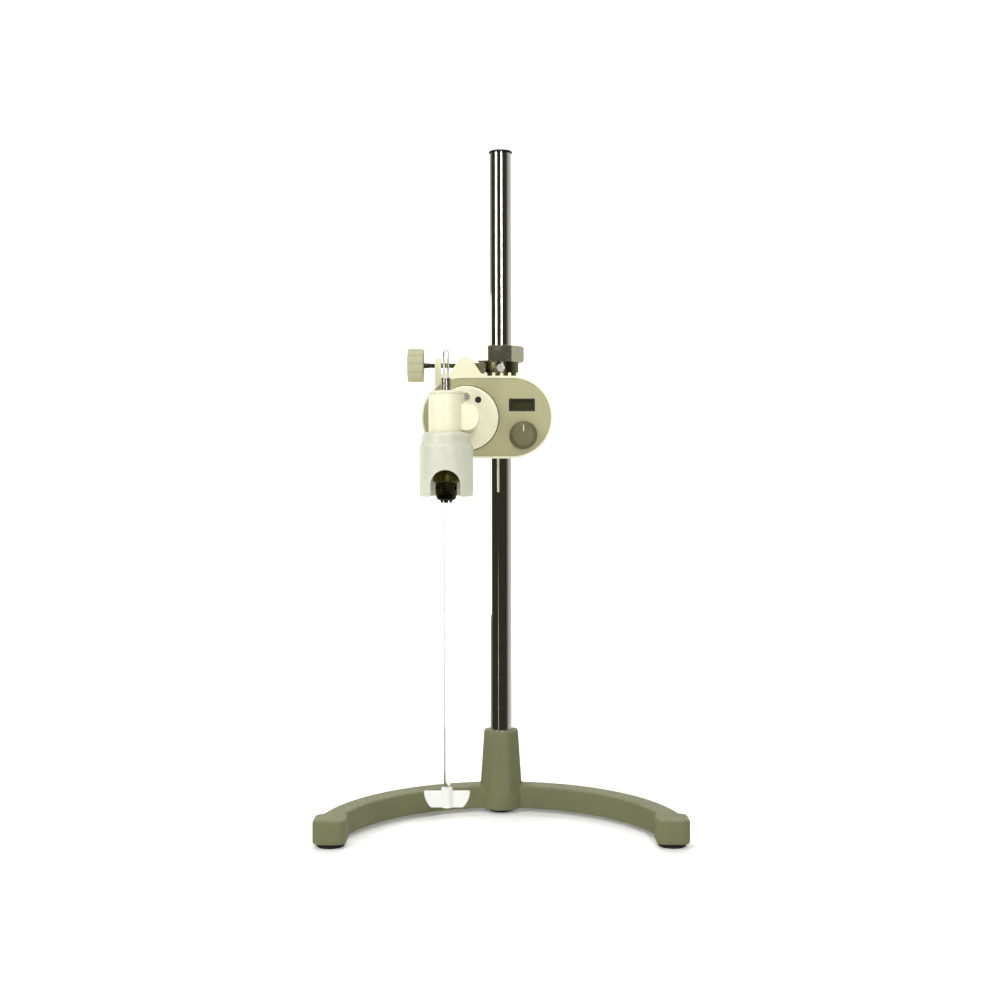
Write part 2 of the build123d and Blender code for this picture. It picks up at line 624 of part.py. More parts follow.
def make_rear_housing():
    shell = front_prism(stadium(0), HOUSING_FRONT_Y, HOUSING_BACK_Y)
    shell = fillet(shell.edges().group_by(Axis.Y)[-1], HOUSING_BACK_RADIUS)
    shell = fillet(shell.edges().group_by(Axis.Y)[0], HOUSING_RIM_RADIUS)
    cavity = front_prism(stadium(HOUSING_WALL), HOUSING_FRONT_Y - 1, HOUSING_BACK_Y - HOUSING_WALL)
    cavity = fillet(cavity.edges().group_by(Axis.Y)[-1], HOUSING_BACK_RADIUS - HOUSING_WALL)
    shell -= cavity
    shell += vent_fins()
    for index in range(VENT_COUNT):
        x = VENT_CENTRE_X + (index - (VENT_COUNT - 1) / 2) * VENT_PITCH
        shell -= block(x - VENT_WIDTH / 2, x + VENT_WIDTH / 2, VENT_FRONT_Y + VENT_END_WALL,
                       VENT_BACK_Y - VENT_END_WALL, housing_top_z - 2 * HOUSING_WALL, housing_top_z + 1)
    for x, z in housing_screw_places():
        shell += lengthwise(HOUSING_POST_RADIUS, plate_back_y, HOUSING_BACK_Y - 1, x, z)
    for x, z in housing_screw_places():
        shell -= lengthwise(small_screw_hole, plate_back_y - 1, HOUSING_BACK_Y + 1, x, z)
        shell -= lengthwise(HOUSING_SCREW_HEAD / 2 + FREE_GAP, screw_seat_y() - RUNNING_GAP,
                            HOUSING_BACK_Y + 1, x, z)
    shell -= switch_opening(SCREW_GAP)
    shell -= lengthwise(gland_thread_radius() + SCREW_GAP, HOUSING_BACK_Y - 5, HOUSING_BACK_Y + 1,
                        GLAND_X, GLAND_Z)
    for x in bracket_screw_places():
        shell -= upright(BRACKET_SCREW_DIAMETER / 2 + SCREW_GAP, housing_top_z - 20,
                         housing_top_z + 1, x, THUMB_Y)
    return shell


def screw_seat_y():
    """Floor under the heads of the housing screws."""
    return HOUSING_BACK_Y - SCREW_HEAD_RECESS - HOUSING_SCREW_HEAD_HEIGHT


def cross_recess(x, z, front, back):
    half = CROSS_SLOT_WIDTH / 2
    level = block(x - CROSS_SLOT_REACH, x + CROSS_SLOT_REACH, front, back, z - half, z + half)
    return level + block(x - half, x + half, front, back, z - CROSS_SLOT_REACH, z + CROSS_SLOT_REACH)


def make_housing_screws():
    screws = []
    top = HOUSING_BACK_Y - SCREW_HEAD_RECESS
    for x, z in housing_screw_places():
        shank = lengthwise(HOUSING_SCREW_DIAMETER / 2, plate_front_y + 1, screw_seat_y(), x, z)
        head = lengthwise(HOUSING_SCREW_HEAD / 2, screw_seat_y(), top, x, z)
        screws.append(shank + head - cross_recess(x, z, top - CROSS_SLOT_DEPTH, top + 1))
    return screws


def make_front_panel():
    panel = front_prism(stadium(HOUSING_WALL + PANEL_GAP), panel_front_y, panel_back_y)
    panel -= lengthwise(DISC_RECESS_DIAMETER / 2, panel_front_y - 1, panel_back_y + 1, GEAR_X, GEAR_Z)
    window = Pos(WINDOW_X, WINDOW_Z) * RectangleRounded(WINDOW_WIDTH, WINDOW_HEIGHT, WINDOW_CORNER_RADIUS)
    panel -= front_prism(window, panel_front_y - 1, panel_back_y + 1)
    panel -= lengthwise(POT_SHAFT_DIAMETER / 2 + FREE_GAP, panel_front_y - 1, panel_back_y + 1,
                        KNOB_X, KNOB_Z)
    return panel


def display_outline(border):
    return Pos(WINDOW_X, WINDOW_Z) * Rectangle(WINDOW_WIDTH + 2 * border, WINDOW_HEIGHT + 2 * border)


def make_chassis_plate():
    plate = front_prism(stadium(HOUSING_WALL + PANEL_GAP), plate_front_y, plate_back_y)
    plate -= lengthwise(MOTOR_SPIGOT_HOLE / 2, plate_front_y - 1, plate_back_y + 1, GEAR_X, GEAR_Z)
    plate -= front_prism(display_outline(DISPLAY_BORDER + SCREW_GAP), plate_front_y - 1, plate_back_y + 1)
    plate -= lengthwise(POT_DIAMETER / 2 + FREE_GAP, plate_front_y - 1, plate_back_y + 1, KNOB_X, KNOB_Z)
    for x, z in housing_screw_places():
        plate -= lengthwise(small_screw_hole, plate_front_y - 1, plate_back_y + 1, x, z)
    plate -= lengthwise(small_screw_hole, plate_front_y - 1, plate_back_y + 1, FLANGE_SCREW_X,
                        FLANGE_SCREW_Z)
    for x, z in board_pillar_places():
        plate += lengthwise(PILLAR_RADIUS, plate_back_y - 1, board_front_y, x, z)
    return plate


def board_pillar_places():
    places = []
    for x in (BOARD_X - PILLAR_LEFT, BOARD_X + PILLAR_RIGHT):
        places += [(x, BOARD_Z + PILLAR_RISE), (x, BOARD_Z - PILLAR_RISE)]
    return places


def make_circuit_board():
    outline = Pos(BOARD_X, BOARD_Z) * RectangleRounded(BOARD_WIDTH, BOARD_HEIGHT, BOARD_CORNER_RADIUS)
    outline &= stadium(HOUSING_WALL + BOARD_EDGE_GAP)
    for x, z in housing_screw_places():
        outline -= Pos(x, z) * Circle(HOUSING_POST_RADIUS + FREE_GAP)
    board = front_prism(outline, board_front_y, board_back_y)
    left = BOARD_X - HEAT_SINK_LEFT
    low = BOARD_Z - HEAT_SINK_DROP
    sink_back = board_back_y + HEAT_SINK_DEPTH
    heat_sink = block(left, left + HEAT_SINK_WIDTH, board_back_y, sink_back, low, low + HEAT_SINK_LENGTH)
    for index in range(HEAT_SINK_SLOTS):
        x = left + HEAT_SINK_WIDTH / 2 + (index - (HEAT_SINK_SLOTS - 1) / 2) * HEAT_SINK_PITCH
        heat_sink -= block(x - HEAT_SINK_SLOT / 2, x + HEAT_SINK_SLOT / 2, board_back_y + HEAT_SINK_BASE,
                           sink_back + 1, low - 1, low + HEAT_SINK_LENGTH + 1)
    capacitor = lengthwise(CAPACITOR_RADIUS, board_back_y, board_back_y + CAPACITOR_LENGTH,
                           BOARD_X - CAPACITOR_LEFT, BOARD_Z + CAPACITOR_RISE)
    return board + heat_sink + capacitor


def make_display_module():
    frame = front_prism(display_outline(DISPLAY_BORDER), panel_back_y + SEAT_GAP, board_front_y)
    return frame - front_prism(display_outline(-DISPLAY_OVERLAP), panel_back_y, panel_back_y + DISPLAY_DEPTH)


def make_display_glass():
    front = panel_back_y + SEAT_GAP + DISPLAY_SEAT
    return front_prism(display_outline(-DISPLAY_OVERLAP - SCREW_GAP), front, panel_back_y + DISPLAY_DEPTH)


def make_speed_pot():
    body = lengthwise(POT_DIAMETER / 2, panel_back_y + SEAT_GAP, board_front_y, KNOB_X, KNOB_Z)
    bore_back = board_front_y - POT_BACK_WALL
    return body - lengthwise(POT_SHAFT_DIAMETER / 2 + RUNNING_GAP, panel_front_y, bore_back, KNOB_X, KNOB_Z)


def make_pot_shaft():
    front = panel_front_y - KNOB_HEIGHT + KNOB_GRIP_START
    back = board_front_y - POT_BACK_WALL - FREE_GAP
    return lengthwise(POT_SHAFT_DIAMETER / 2, front, back, KNOB_X, KNOB_Z)


def make_speed_knob():
    back = panel_front_y - FREE_GAP
    skirt = KNOB_SKIRT_DIAMETER / 2
    cap = KNOB_CAP_DIAMETER / 2
    knob = turned_lengthwise([
        (0, back),
        (skirt, back),
        (skirt, back - KNOB_SKIRT_EDGE),
        (cap + KNOB_SHOULDER, back - KNOB_SKIRT_HEIGHT),
        (cap + KNOB_SHOULDER / 2, back - KNOB_SKIRT_HEIGHT - KNOB_SHOULDER / 2),
        (cap, back - KNOB_HEIGHT + KNOB_TOP_CHAMFER),
        (cap - KNOB_TOP_CHAMFER, back - KNOB_HEIGHT),
        (0, back - KNOB_HEIGHT),
    ], KNOB_X, KNOB_Z)
    for index in range(KNOB_FLUTES):
        angle = radians(index * 360 / KNOB_FLUTES)
        x = KNOB_X + (cap + KNOB_FLUTE_OFFSET) * cos(angle)
        z = KNOB_Z + (cap + KNOB_FLUTE_OFFSET) * sin(angle)
        knob -= lengthwise(KNOB_FLUTE_RADIUS, back - KNOB_HEIGHT - 1, back - KNOB_SKIRT_HEIGHT - 1, x, z)
    half_mark = KNOB_MARK_WIDTH / 2
    knob -= block(KNOB_X - half_mark, KNOB_X + half_mark, back - KNOB_HEIGHT - 1,
                  back - KNOB_HEIGHT + KNOB_MARK_DEPTH,
                  KNOB_Z + KNOB_MARK_START, KNOB_Z + cap + 2)
    grip_front = panel_front_y - KNOB_HEIGHT + KNOB_GRIP_START
    return knob - lengthwise(POT_SHAFT_DIAMETER / 2, grip_front, back + 1, KNOB_X, KNOB_Z)


def switch_opening(gap):
    outline = Pos(SWITCH_X, SWITCH_Z) * Rectangle(SWITCH_WIDTH + 2 * gap, SWITCH_HEIGHT + 2 * gap)
    return front_prism(outline, HOUSING_BACK_Y - SWITCH_WELL_DEPTH, HOUSING_BACK_Y + 1)


def rocker_pin(radius, length):
    """Round bar on the rocker's pivot axis."""
    return crosswise(radius, SWITCH_X - length / 2, SWITCH_X + length / 2, rocker_pivot_y(), SWITCH_Z)


def rocker_pivot_y():
    return switch_face_y - ROCKER_PIVOT_DEPTH


def make_switch_frame():
    place = Pos(SWITCH_X, SWITCH_Z)
    rim = RectangleRounded(SWITCH_WIDTH + 2 * SWITCH_FLANGE, SWITCH_HEIGHT + 2 * SWITCH_FLANGE,
                           SWITCH_FLANGE)
    flange = front_prism(place * rim, HOUSING_BACK_Y, switch_face_y)
    body = front_prism(place * Rectangle(SWITCH_WIDTH, SWITCH_HEIGHT),
                       HOUSING_BACK_Y - SWITCH_DEPTH, HOUSING_BACK_Y + 1)
    opening = Rectangle(SWITCH_WIDTH - 2 * SWITCH_WALL, SWITCH_HEIGHT - 2 * SWITCH_WALL)
    well = front_prism(place * opening, HOUSING_BACK_Y - SWITCH_WELL_DEPTH, switch_face_y + 1)
    return flange + body - well - rocker_pin(ROCKER_PIN_DIAMETER / 2 + RUNNING_GAP,
                                             SWITCH_WIDTH - SWITCH_WALL)


def make_power_rocker():
    """Two-sided rocker; it stands at the end of its travel, so one half is up."""
    half = SWITCH_HEIGHT / 2 - SWITCH_WALL - ROCKER_END_GAP
    width = SWITCH_WIDTH / 2 - SWITCH_WALL - ROCKER_SIDE_GAP
    back = switch_face_y - ROCKER_DEPTH
    profile = polygon(
        (back, -half + ROCKER_FOOT_INSET),
        (back, half - ROCKER_FOOT_INSET),
        (switch_face_y + ROCKER_DISH, half),
        (switch_face_y, 0),
        (switch_face_y + ROCKER_DISH, -half),
    )
    rocker = extrude(Plane.YZ.offset(-width) * profile, 2 * width)
    rocker = Pos(SWITCH_X, 0, SWITCH_Z) * rocker
    rocker += rocker_pin(ROCKER_PIN_DIAMETER / 2, SWITCH_WIDTH - SWITCH_WALL - 2 * SEAT_GAP)
    pivot = Axis((SWITCH_X, rocker_pivot_y(), SWITCH_Z), (1, 0, 0))
    return rocker.rotate(pivot, SWITCH_TILT)


def gland_thread_radius():
    return GLAND_DIAMETER / 2 - GLAND_THREAD_STEP


def make_cable_gland():
    collar = GLAND_DIAMETER / 2 - GLAND_COLLAR_STEP
    nut_back = HOUSING_BACK_Y + GLAND_NUT_HEIGHT
    end = HOUSING_BACK_Y + GLAND_PROTRUSION
    nut = front_prism(Pos(GLAND_X, GLAND_Z) * hexagon(GLAND_DIAMETER), HOUSING_BACK_Y, nut_back)
    dome = turned_lengthwise([
        (0, nut_back - 1),
        (collar, nut_back - 1),
        (collar, HOUSING_BACK_Y + GLAND_COLLAR_HEIGHT),
        (GLAND_BORE / 2 + GLAND_LIP, end),
        (0, end),
    ], GLAND_X, GLAND_Z)
    thread_front = HOUSING_BACK_Y - GLAND_THREAD_LENGTH
    thread = lengthwise(gland_thread_radius(), thread_front, HOUSING_BACK_Y + 1, GLAND_X, GLAND_Z)
    return nut + dome + thread - lengthwise(GLAND_BORE / 2, thread_front - 1, end + 1, GLAND_X, GLAND_Z)


# -------------------------------------------------------- bracket and thumb screw
def bracket_screw_places():
    return [ROD_AXIS_X, ROD_AXIS_X + BRACKET_SCREW_PITCH]


def make_top_bracket():
    """Saddle on the housing with a peak that carries the support rod and a lug for the thumb screw."""
    saddle = polygon(
        (BRACKET_LEFT_X, HOUSING_Z), (BRACKET_RIGHT_X, HOUSING_Z),
        (BRACKET_RIGHT_X, BRACKET_TOP_Z), (BRACKET_LEFT_X, BRACKET_TOP_Z),
    )
    peak_edges = (Pos(ROD_AXIS_X, CLAMP_Z) * Circle(BRACKET_PEAK_RADIUS)).edges()
    peak_foot_z = BRACKET_TOP_Z - PEAK_FOOT_DEPTH
    peak_edges += [Line((PEAK_LEFT_X, peak_foot_z), (PEAK_RIGHT_X, peak_foot_z))]
    peak = make_hull(peak_edges)
    lug_x = BRACKET_LEFT_X + LUG_THICKNESS / 2
    lug_height = LUG_TOP_Z - BRACKET_TOP_Z
    lug = Pos(lug_x, BRACKET_TOP_Z + lug_height / 2 - 1) * Rectangle(LUG_THICKNESS, lug_height + 2)
    bracket = front_prism(saddle, BRACKET_FRONT_Y, BRACKET_BACK_Y)
    bracket -= front_prism(stadium(-0.02), BRACKET_FRONT_Y - 1, BRACKET_BACK_Y + 1)
    bracket += front_prism(peak, BRACKET_FRONT_Y, BRACKET_BACK_Y)
    bracket += front_prism(lug, BRACKET_FRONT_Y + LUG_SETBACK, BRACKET_BACK_Y - LUG_SETBACK)
    bracket -= lengthwise(SUPPORT_ROD_DIAMETER / 2 + RUNNING_GAP, SUPPORT_ROD_FRONT_Y - FREE_GAP,
                          BRACKET_BACK_Y + 1,
                          ROD_AXIS_X, CLAMP_Z)
    bracket -= crosswise(THUMB_SCREW_DIAMETER / 2 + SCREW_GAP, BRACKET_LEFT_X - 1, ROD_AXIS_X,
                         THUMB_Y, CLAMP_Z)
    for x in bracket_screw_places():
        hole_top = housing_top_z + BRACKET_SCREW_REACH + FREE_GAP
        bracket -= upright(BRACKET_SCREW_DIAMETER / 2 + SCREW_GAP, HOUSING_Z, hole_top, x, THUMB_Y)
    return bracket


def make_bracket_screws():
    screws = []
    underside = housing_top_z - HOUSING_WALL - SEAT_GAP
    for x in bracket_screw_places():
        top = housing_top_z + BRACKET_SCREW_REACH
        shank = upright(BRACKET_SCREW_DIAMETER / 2, underside - 1, top, x, THUMB_Y)
        head = upright(BRACKET_SCREW_HEAD / 2, underside - BRACKET_SCREW_HEAD_HEIGHT,
                       underside, x, THUMB_Y)
        screws.append(shank + head)
    return screws


def make_thumb_screw():
    tip = ROD_AXIS_X - SUPPORT_ROD_DIAMETER / 2 - FREE_GAP
    return crosswise(THUMB_SCREW_DIAMETER / 2, THUMB_KNOB_RIGHT_X - THUMB_SCREW_GRIP, tip, THUMB_Y, CLAMP_Z)


def make_thumb_knob():
    left = THUMB_KNOB_RIGHT_X - THUMB_KNOB_WIDTH
    knob = crosswise(THUMB_KNOB_DIAMETER / 2, left, THUMB_KNOB_RIGHT_X, THUMB_Y, CLAMP_Z)
    knob = chamfer(knob.edges().filter_by(GeomType.CIRCLE), THUMB_KNOB_CHAMFER)
    flute_circle = THUMB_KNOB_DIAMETER / 2 + THUMB_FLUTE_OFFSET
    for index in range(THUMB_FLUTES):
        angle = radians(index * 360 / THUMB_FLUTES)
        y = THUMB_Y + flute_circle * cos(angle)
        z = CLAMP_Z + flute_circle * sin(angle)
        knob -= crosswise(THUMB_FLUTE_RADIUS, left - 1, THUMB_KNOB_RIGHT_X + 1, y, z)
    bore_left = THUMB_KNOB_RIGHT_X - THUMB_SCREW_GRIP
    return knob - crosswise(THUMB_SCREW_DIAMETER / 2, bore_left, THUMB_KNOB_RIGHT_X + 1, THUMB_Y, CLAMP_Z)


# ------------------------------------------------------------------ gear head
def hub_outline(inset):
    """Round hub that narrows to a small radius below the flange screw."""
    circles = (Pos(GEAR_X, GEAR_Z) * Circle(HUB_DIAMETER / 2 - inset)).edges()
    circles += (Pos(GEAR_X, HUB_PEAK_Z) * Circle(HUB_PEAK_RADIUS - inset)).edges()
    return make_hull(circles)


def make_gear_housing():
    """Flange disc, worm hub and spindle barrel in one casting."""
    disc = lengthwise(DISC_DIAMETER / 2, DISC_FRONT_Y, plate_front_y - SEAT_GAP, GEAR_X, GEAR_Z)
    disc = fillet(disc.edges().group_by(Axis.Y)[0], DISC_EDGE_RADIUS)
    hub = front_prism(hub_outline(0), HUB_FRONT_Y + HUB_COVER_THICKNESS, DISC_FRONT_Y + 1)
    barrel_top = barrel_shoulder_z
    barrel = upright(barrel_radius, BARREL_BOTTOM_Z, barrel_top, SPINDLE_X, SPINDLE_Y)
    web = block(SPINDLE_X, GEAR_X, SPINDLE_Y - WEB_FRONT, DISC_FRONT_Y + 1,
                GEAR_Z - WEB_HALF_HEIGHT, GEAR_Z + WEB_HALF_HEIGHT)
    housing = disc + hub + barrel + web
    seat = BEARING_DIAMETER / 2 + SCREW_GAP
    cavity_low = BARREL_BOTTOM_Z + BEARING_WIDTH + BEARING_FLOOR
    cavity_high = barrel_top - BEARING_WIDTH - BEARING_CEILING
    housing -= upright(seat, BARREL_BOTTOM_Z - 1, BARREL_BOTTOM_Z + BEARING_WIDTH, SPINDLE_X, SPINDLE_Y)
    housing -= upright(seat, cavity_high - 1, barrel_top + 1, SPINDLE_X, SPINDLE_Y)
    housing -= upright(BARREL_CAVITY_DIAMETER / 2, cavity_low, cavity_high, SPINDLE_X, SPINDLE_Y)
    housing -= upright(spindle_radius + BEARING_PASSAGE, BARREL_BOTTOM_Z - 1, barrel_top + 1,
                       SPINDLE_X, SPINDLE_Y)
    worm_seat = WORM_BEARING_DIAMETER / 2 + SCREW_GAP
    housing -= lengthwise(worm_seat, HUB_FRONT_Y - 1, SPINDLE_Y + WORM_LENGTH, GEAR_X, GEAR_Z)
    housing -= lengthwise(MOTOR_SHAFT_DIAMETER / 2 + BEARING_PASSAGE, HUB_FRONT_Y,
                          plate_front_y + 1, GEAR_X, GEAR_Z)
    housing -= lengthwise(small_screw_hole, DISC_FRONT_Y - 1, plate_front_y + 1, FLANGE_SCREW_X,
                          FLANGE_SCREW_Z)
    head_seat = DISC_FRONT_Y + FLANGE_SCREW_RECESS
    housing -= lengthwise(FLANGE_SCREW_HEAD / 2 + SEAT_GAP * 2, DISC_FRONT_Y - 1, head_seat,
                          FLANGE_SCREW_X, FLANGE_SCREW_Z)
    plug_back = DISC_FRONT_Y + FLANGE_PLUG_LENGTH
    housing -= lengthwise(FLANGE_PLUG_DIAMETER / 2 + SCREW_GAP, DISC_FRONT_Y - 1, plug_back,
                          FLANGE_PLUG_X, FLANGE_PLUG_Z)
    return housing


def make_hub_cover():
    cover = front_prism(hub_outline(0), HUB_FRONT_Y, HUB_FRONT_Y + HUB_COVER_THICKNESS - SEAT_GAP)
    cover -= upright(barrel_radius + 2 * SEAT_GAP, BARREL_BOTTOM_Z, BARREL_TOP_Z, SPINDLE_X, SPINDLE_Y)
    return cover


def make_barrel_cap():
    low = barrel_shoulder_z + SEAT_GAP
    cap = upright(barrel_radius, low, BARREL_TOP_Z, SPINDLE_X, SPINDLE_Y)
    cap = fillet(cap.edges().group_by(Axis.Z)[-1], CAP_RIM_RADIUS)
    return cap - upright(spindle_radius + FREE_GAP, low - 1, BARREL_TOP_Z + 1, SPINDLE_X, SPINDLE_Y)


def make_flange_screw():
    x, z = FLANGE_SCREW_X, FLANGE_SCREW_Z
    face = DISC_FRONT_Y + SCREW_HEAD_RECESS / 2
    seat = DISC_FRONT_Y + FLANGE_SCREW_RECESS
    shank = lengthwise(HOUSING_SCREW_DIAMETER / 2, seat - 1, plate_back_y - SEAT_GAP, x, z)
    head = lengthwise(FLANGE_SCREW_HEAD / 2, face, seat, x, z)
    return shank + head - cross_recess(x, z, face - 1, face + CROSS_SLOT_DEPTH)


def make_flange_plug():
    face = DISC_FRONT_Y + SCREW_HEAD_RECESS / 2
    return lengthwise(FLANGE_PLUG_DIAMETER / 2, face, DISC_FRONT_Y + FLANGE_PLUG_LENGTH,
                      FLANGE_PLUG_X, FLANGE_PLUG_Z)


def make_bearing(bottom):
    ring = upright(BEARING_DIAMETER / 2, bottom, bottom + BEARING_WIDTH, SPINDLE_X, SPINDLE_Y)
    return ring - upright(spindle_radius + RUNNING_GAP, bottom - 1, bottom + BEARING_WIDTH + 1,
                          SPINDLE_X, SPINDLE_Y)


def make_worm_bearing():
    front = HUB_FRONT_Y + HUB_COVER_THICKNESS
    back = front + WORM_BEARING_WIDTH
    ring = lengthwise(WORM_BEARING_DIAMETER / 2, front, back, GEAR_X, GEAR_Z)
    return ring - lengthwise(MOTOR_SHAFT_DIAMETER / 2 + RUNNING_GAP, front - 1, back + 1, GEAR_X, GEAR_Z)


def make_motor():
    back = plate_back_y + MOTOR_LENGTH
    can = lengthwise(MOTOR_DIAMETER / 2, plate_back_y, back, GEAR_X, GEAR_Z)
    can = chamfer(can.edges().group_by(Axis.Y)[-1], MOTOR_CHAMFER)
    can += lengthwise(MOTOR_SPIGOT_DIAMETER / 2, plate_front_y + FREE_GAP, plate_back_y + 1, GEAR_X, GEAR_Z)
    return can - lengthwise(MOTOR_SHAFT_DIAMETER / 2 + RUNNING_GAP, plate_front_y,
                            back - MOTOR_END_WALL, GEAR_X, GEAR_Z)


def make_motor_shaft():
    front = HUB_FRONT_Y + HUB_COVER_THICKNESS + FREE_GAP
    back = plate_back_y + MOTOR_LENGTH - MOTOR_END_WALL - FREE_GAP
    return lengthwise(MOTOR_SHAFT_DIAMETER / 2, front, back, GEAR_X, GEAR_Z)


def make_worm():
    half = WORM_LENGTH / 2
    front = max(SPINDLE_Y - half, HUB_FRONT_Y + HUB_COVER_THICKNESS + WORM_BEARING_WIDTH + FREE_GAP)
    worm = lengthwise(worm_radius, front, SPINDLE_Y + half, GEAR_X, GEAR_Z)
    return worm - lengthwise(MOTOR_SHAFT_DIAMETER / 2, front - 1, SPINDLE_Y + half + 1, GEAR_X, GEAR_Z)


def make_worm_wheel():
    low = GEAR_Z - WHEEL_WIDTH / 2
    wheel = upright(wheel_radius, low, low + WHEEL_WIDTH, SPINDLE_X, SPINDLE_Y)
    return wheel - upright(spindle_radius, low - 1, low + WHEEL_WIDTH + 1, SPINDLE_X, SPINDLE_Y)


def make_spindle_tube():
    tube = upright(spindle_radius, SPINDLE_BOTTOM_Z, SPINDLE_TOP_Z, SPINDLE_X, SPINDLE_Y)
    tube = chamfer(tube.edges().group_by(Axis.Z)[-1], SPINDLE_CHAMFER)
    return tube - upright(SPINDLE_BORE / 2, SPINDLE_BOTTOM_Z - 1, SPINDLE_TOP_Z + 1, SPINDLE_X, SPINDLE_Y)


# --------------------------------------------------------------------- chuck
def jaw_place(index):
    """Location at a jaw's tip, with the local Z axis running up and outward along the jaw."""
    turn = JAW_FIRST_TURN + index * 360 / JAW_COUNT
    return Pos(SPINDLE_X, SPINDLE_Y, JAW_TIP_Z) * Rot(Z=turn) * Pos(jaw_tip_offset, 0, 0) * Rot(Y=JAW_ANGLE)


def jaw_channel():
    """Slanting hole for a jaw; it opens below the nose and ends past the jaw's travel."""
    below = jaw_radius
    above = JAW_LENGTH + JAW_TRAVEL + FREE_GAP
    return Pos(0, 0, (above - below) / 2) * Cylinder(jaw_radius + RUNNING_GAP, above + below)


def make_chuck_body():
    radius = chuck_radius
    groove = radius - CHUCK_GROOVE_DEPTH
    nose = CHUCK_NOSE_DIAMETER / 2
    profile = polygon(
        (0, CHUCK_BOTTOM_Z),
        (nose, CHUCK_BOTTOM_Z),
        (nose + CHUCK_NOSE_LIP, CHUCK_BOTTOM_Z + CHUCK_NOSE_LIP_RISE),
        (radius, CHUCK_BOTTOM_Z + CHUCK_NOSE_HEIGHT),
        (radius, nut_ring_bottom_z - FREE_GAP),
        (groove, nut_ring_bottom_z - FREE_GAP),
        (groove, nut_ring_top_z + FREE_GAP),
        (radius, nut_ring_top_z + FREE_GAP),
        (radius, CHUCK_TOP_Z - CHUCK_TOP_CHAMFER),
        (radius - CHUCK_TOP_CHAMFER, CHUCK_TOP_Z),
        (0, CHUCK_TOP_Z),
    )
    body = turned(profile, SPINDLE_X, SPINDLE_Y)
    body -= upright(SPINDLE_BORE / 2, CHUCK_BOTTOM_Z - 1, CHUCK_TOP_Z + 1, SPINDLE_X, SPINDLE_Y)
    body -= upright(spindle_radius, SPINDLE_BOTTOM_Z, CHUCK_TOP_Z + 1, SPINDLE_X, SPINDLE_Y)
    for index in range(JAW_COUNT):
        body -= jaw_place(index) * jaw_channel()
        turn = JAW_FIRST_TURN + 180 / JAW_COUNT + index * 360 / JAW_COUNT
        hole = Pos(SPINDLE_X, SPINDLE_Y, KEY_HOLE_Z) * Rot(Z=turn) * Pos(radius, 0, 0) * Rot(Y=90)
        body -= hole * Cylinder(KEY_HOLE_DIAMETER / 2, 2 * KEY_HOLE_DEPTH)
    return body


def make_jaw(index):
    jaw = jaw_place(index) * (Pos(0, 0, JAW_LENGTH / 2) * Cylinder(jaw_radius, JAW_LENGTH))
    tip_z = JAW_TIP_Z + JAW_TIP_FLAT
    below = upright(CHUCK_DIAMETER, JAW_TIP_Z - JAW_DIAMETER, tip_z, SPINDLE_X, SPINDLE_Y)
    return jaw - below - upright(stir_rod_radius + RUNNING_GAP, JAW_TIP_Z, JAW_TIP_Z + JAW_LENGTH,
                                 SPINDLE_X, SPINDLE_Y)


def jaw_outer_line(z):
    """Distance from the spindle axis to the outer side of the jaws at a height."""
    return jaw_tip_offset + (z - JAW_TIP_Z) * jaw_slope + jaw_radius / cos(radians(JAW_ANGLE))


def make_jaw_nut():
    """Split nut ring whose conical thread drives the jaws."""
    groove = chuck_radius - CHUCK_GROOVE_DEPTH
    outer = sleeve_radius - SLEEVE_WALL
    profile = polygon(
        (max(jaw_outer_line(nut_ring_bottom_z), groove) + FREE_GAP, nut_ring_bottom_z),
        (outer, nut_ring_bottom_z),
        (outer, nut_ring_top_z),
        (max(jaw_outer_line(nut_ring_top_z), groove) + FREE_GAP, nut_ring_top_z),
    )
    return turned(profile, SPINDLE_X, SPINDLE_Y)


def make_chuck_sleeve():
    bore = chuck_radius + RUNNING_GAP
    profile = polygon(
        (bore, SLEEVE_BOTTOM_Z),
        (sleeve_radius - SLEEVE_BEVEL_WIDTH, SLEEVE_BOTTOM_Z),
        (sleeve_radius, SLEEVE_BOTTOM_Z + SLEEVE_BEVEL_HEIGHT),
        (sleeve_radius, SLEEVE_TOP_Z - SLEEVE_TOP_CHAMFER),
        (sleeve_radius - SLEEVE_TOP_CHAMFER, SLEEVE_TOP_Z),
        (bore, SLEEVE_TOP_Z),
    )
    sleeve = turned(profile, SPINDLE_X, SPINDLE_Y)
    ring_seat = sleeve_radius - SLEEVE_WALL
    sleeve -= upright(ring_seat, nut_ring_bottom_z - SEAT_GAP, nut_ring_top_z + SEAT_GAP, SPINDLE_X,
                      SPINDLE_Y)
    open_jaw_top_z = JAW_TIP_Z + (JAW_LENGTH + JAW_TRAVEL) + FREE_GAP
    jaw_room = jaw_outer_line(open_jaw_top_z - JAW_TRAVEL) + JAW_TRAVEL * sin(radians(JAW_ANGLE))
    sleeve -= upright(jaw_room, nut_ring_top_z, open_jaw_top_z, SPINDLE_X, SPINDLE_Y)
    tooth = SLEEVE_TOOTH_DEPTH * sqrt(2)
    for index in range(SLEEVE_TEETH):
        place = Pos(SPINDLE_X, SPINDLE_Y,
                    SLEEVE_BOTTOM_Z) * Rot(Z=index * 360 / SLEEVE_TEETH) * Pos(sleeve_radius, 0, 0)
        sleeve -= place * Rot(X=45) * Box(SLEEVE_TOOTH_LENGTH, tooth, tooth)
    return sleeve


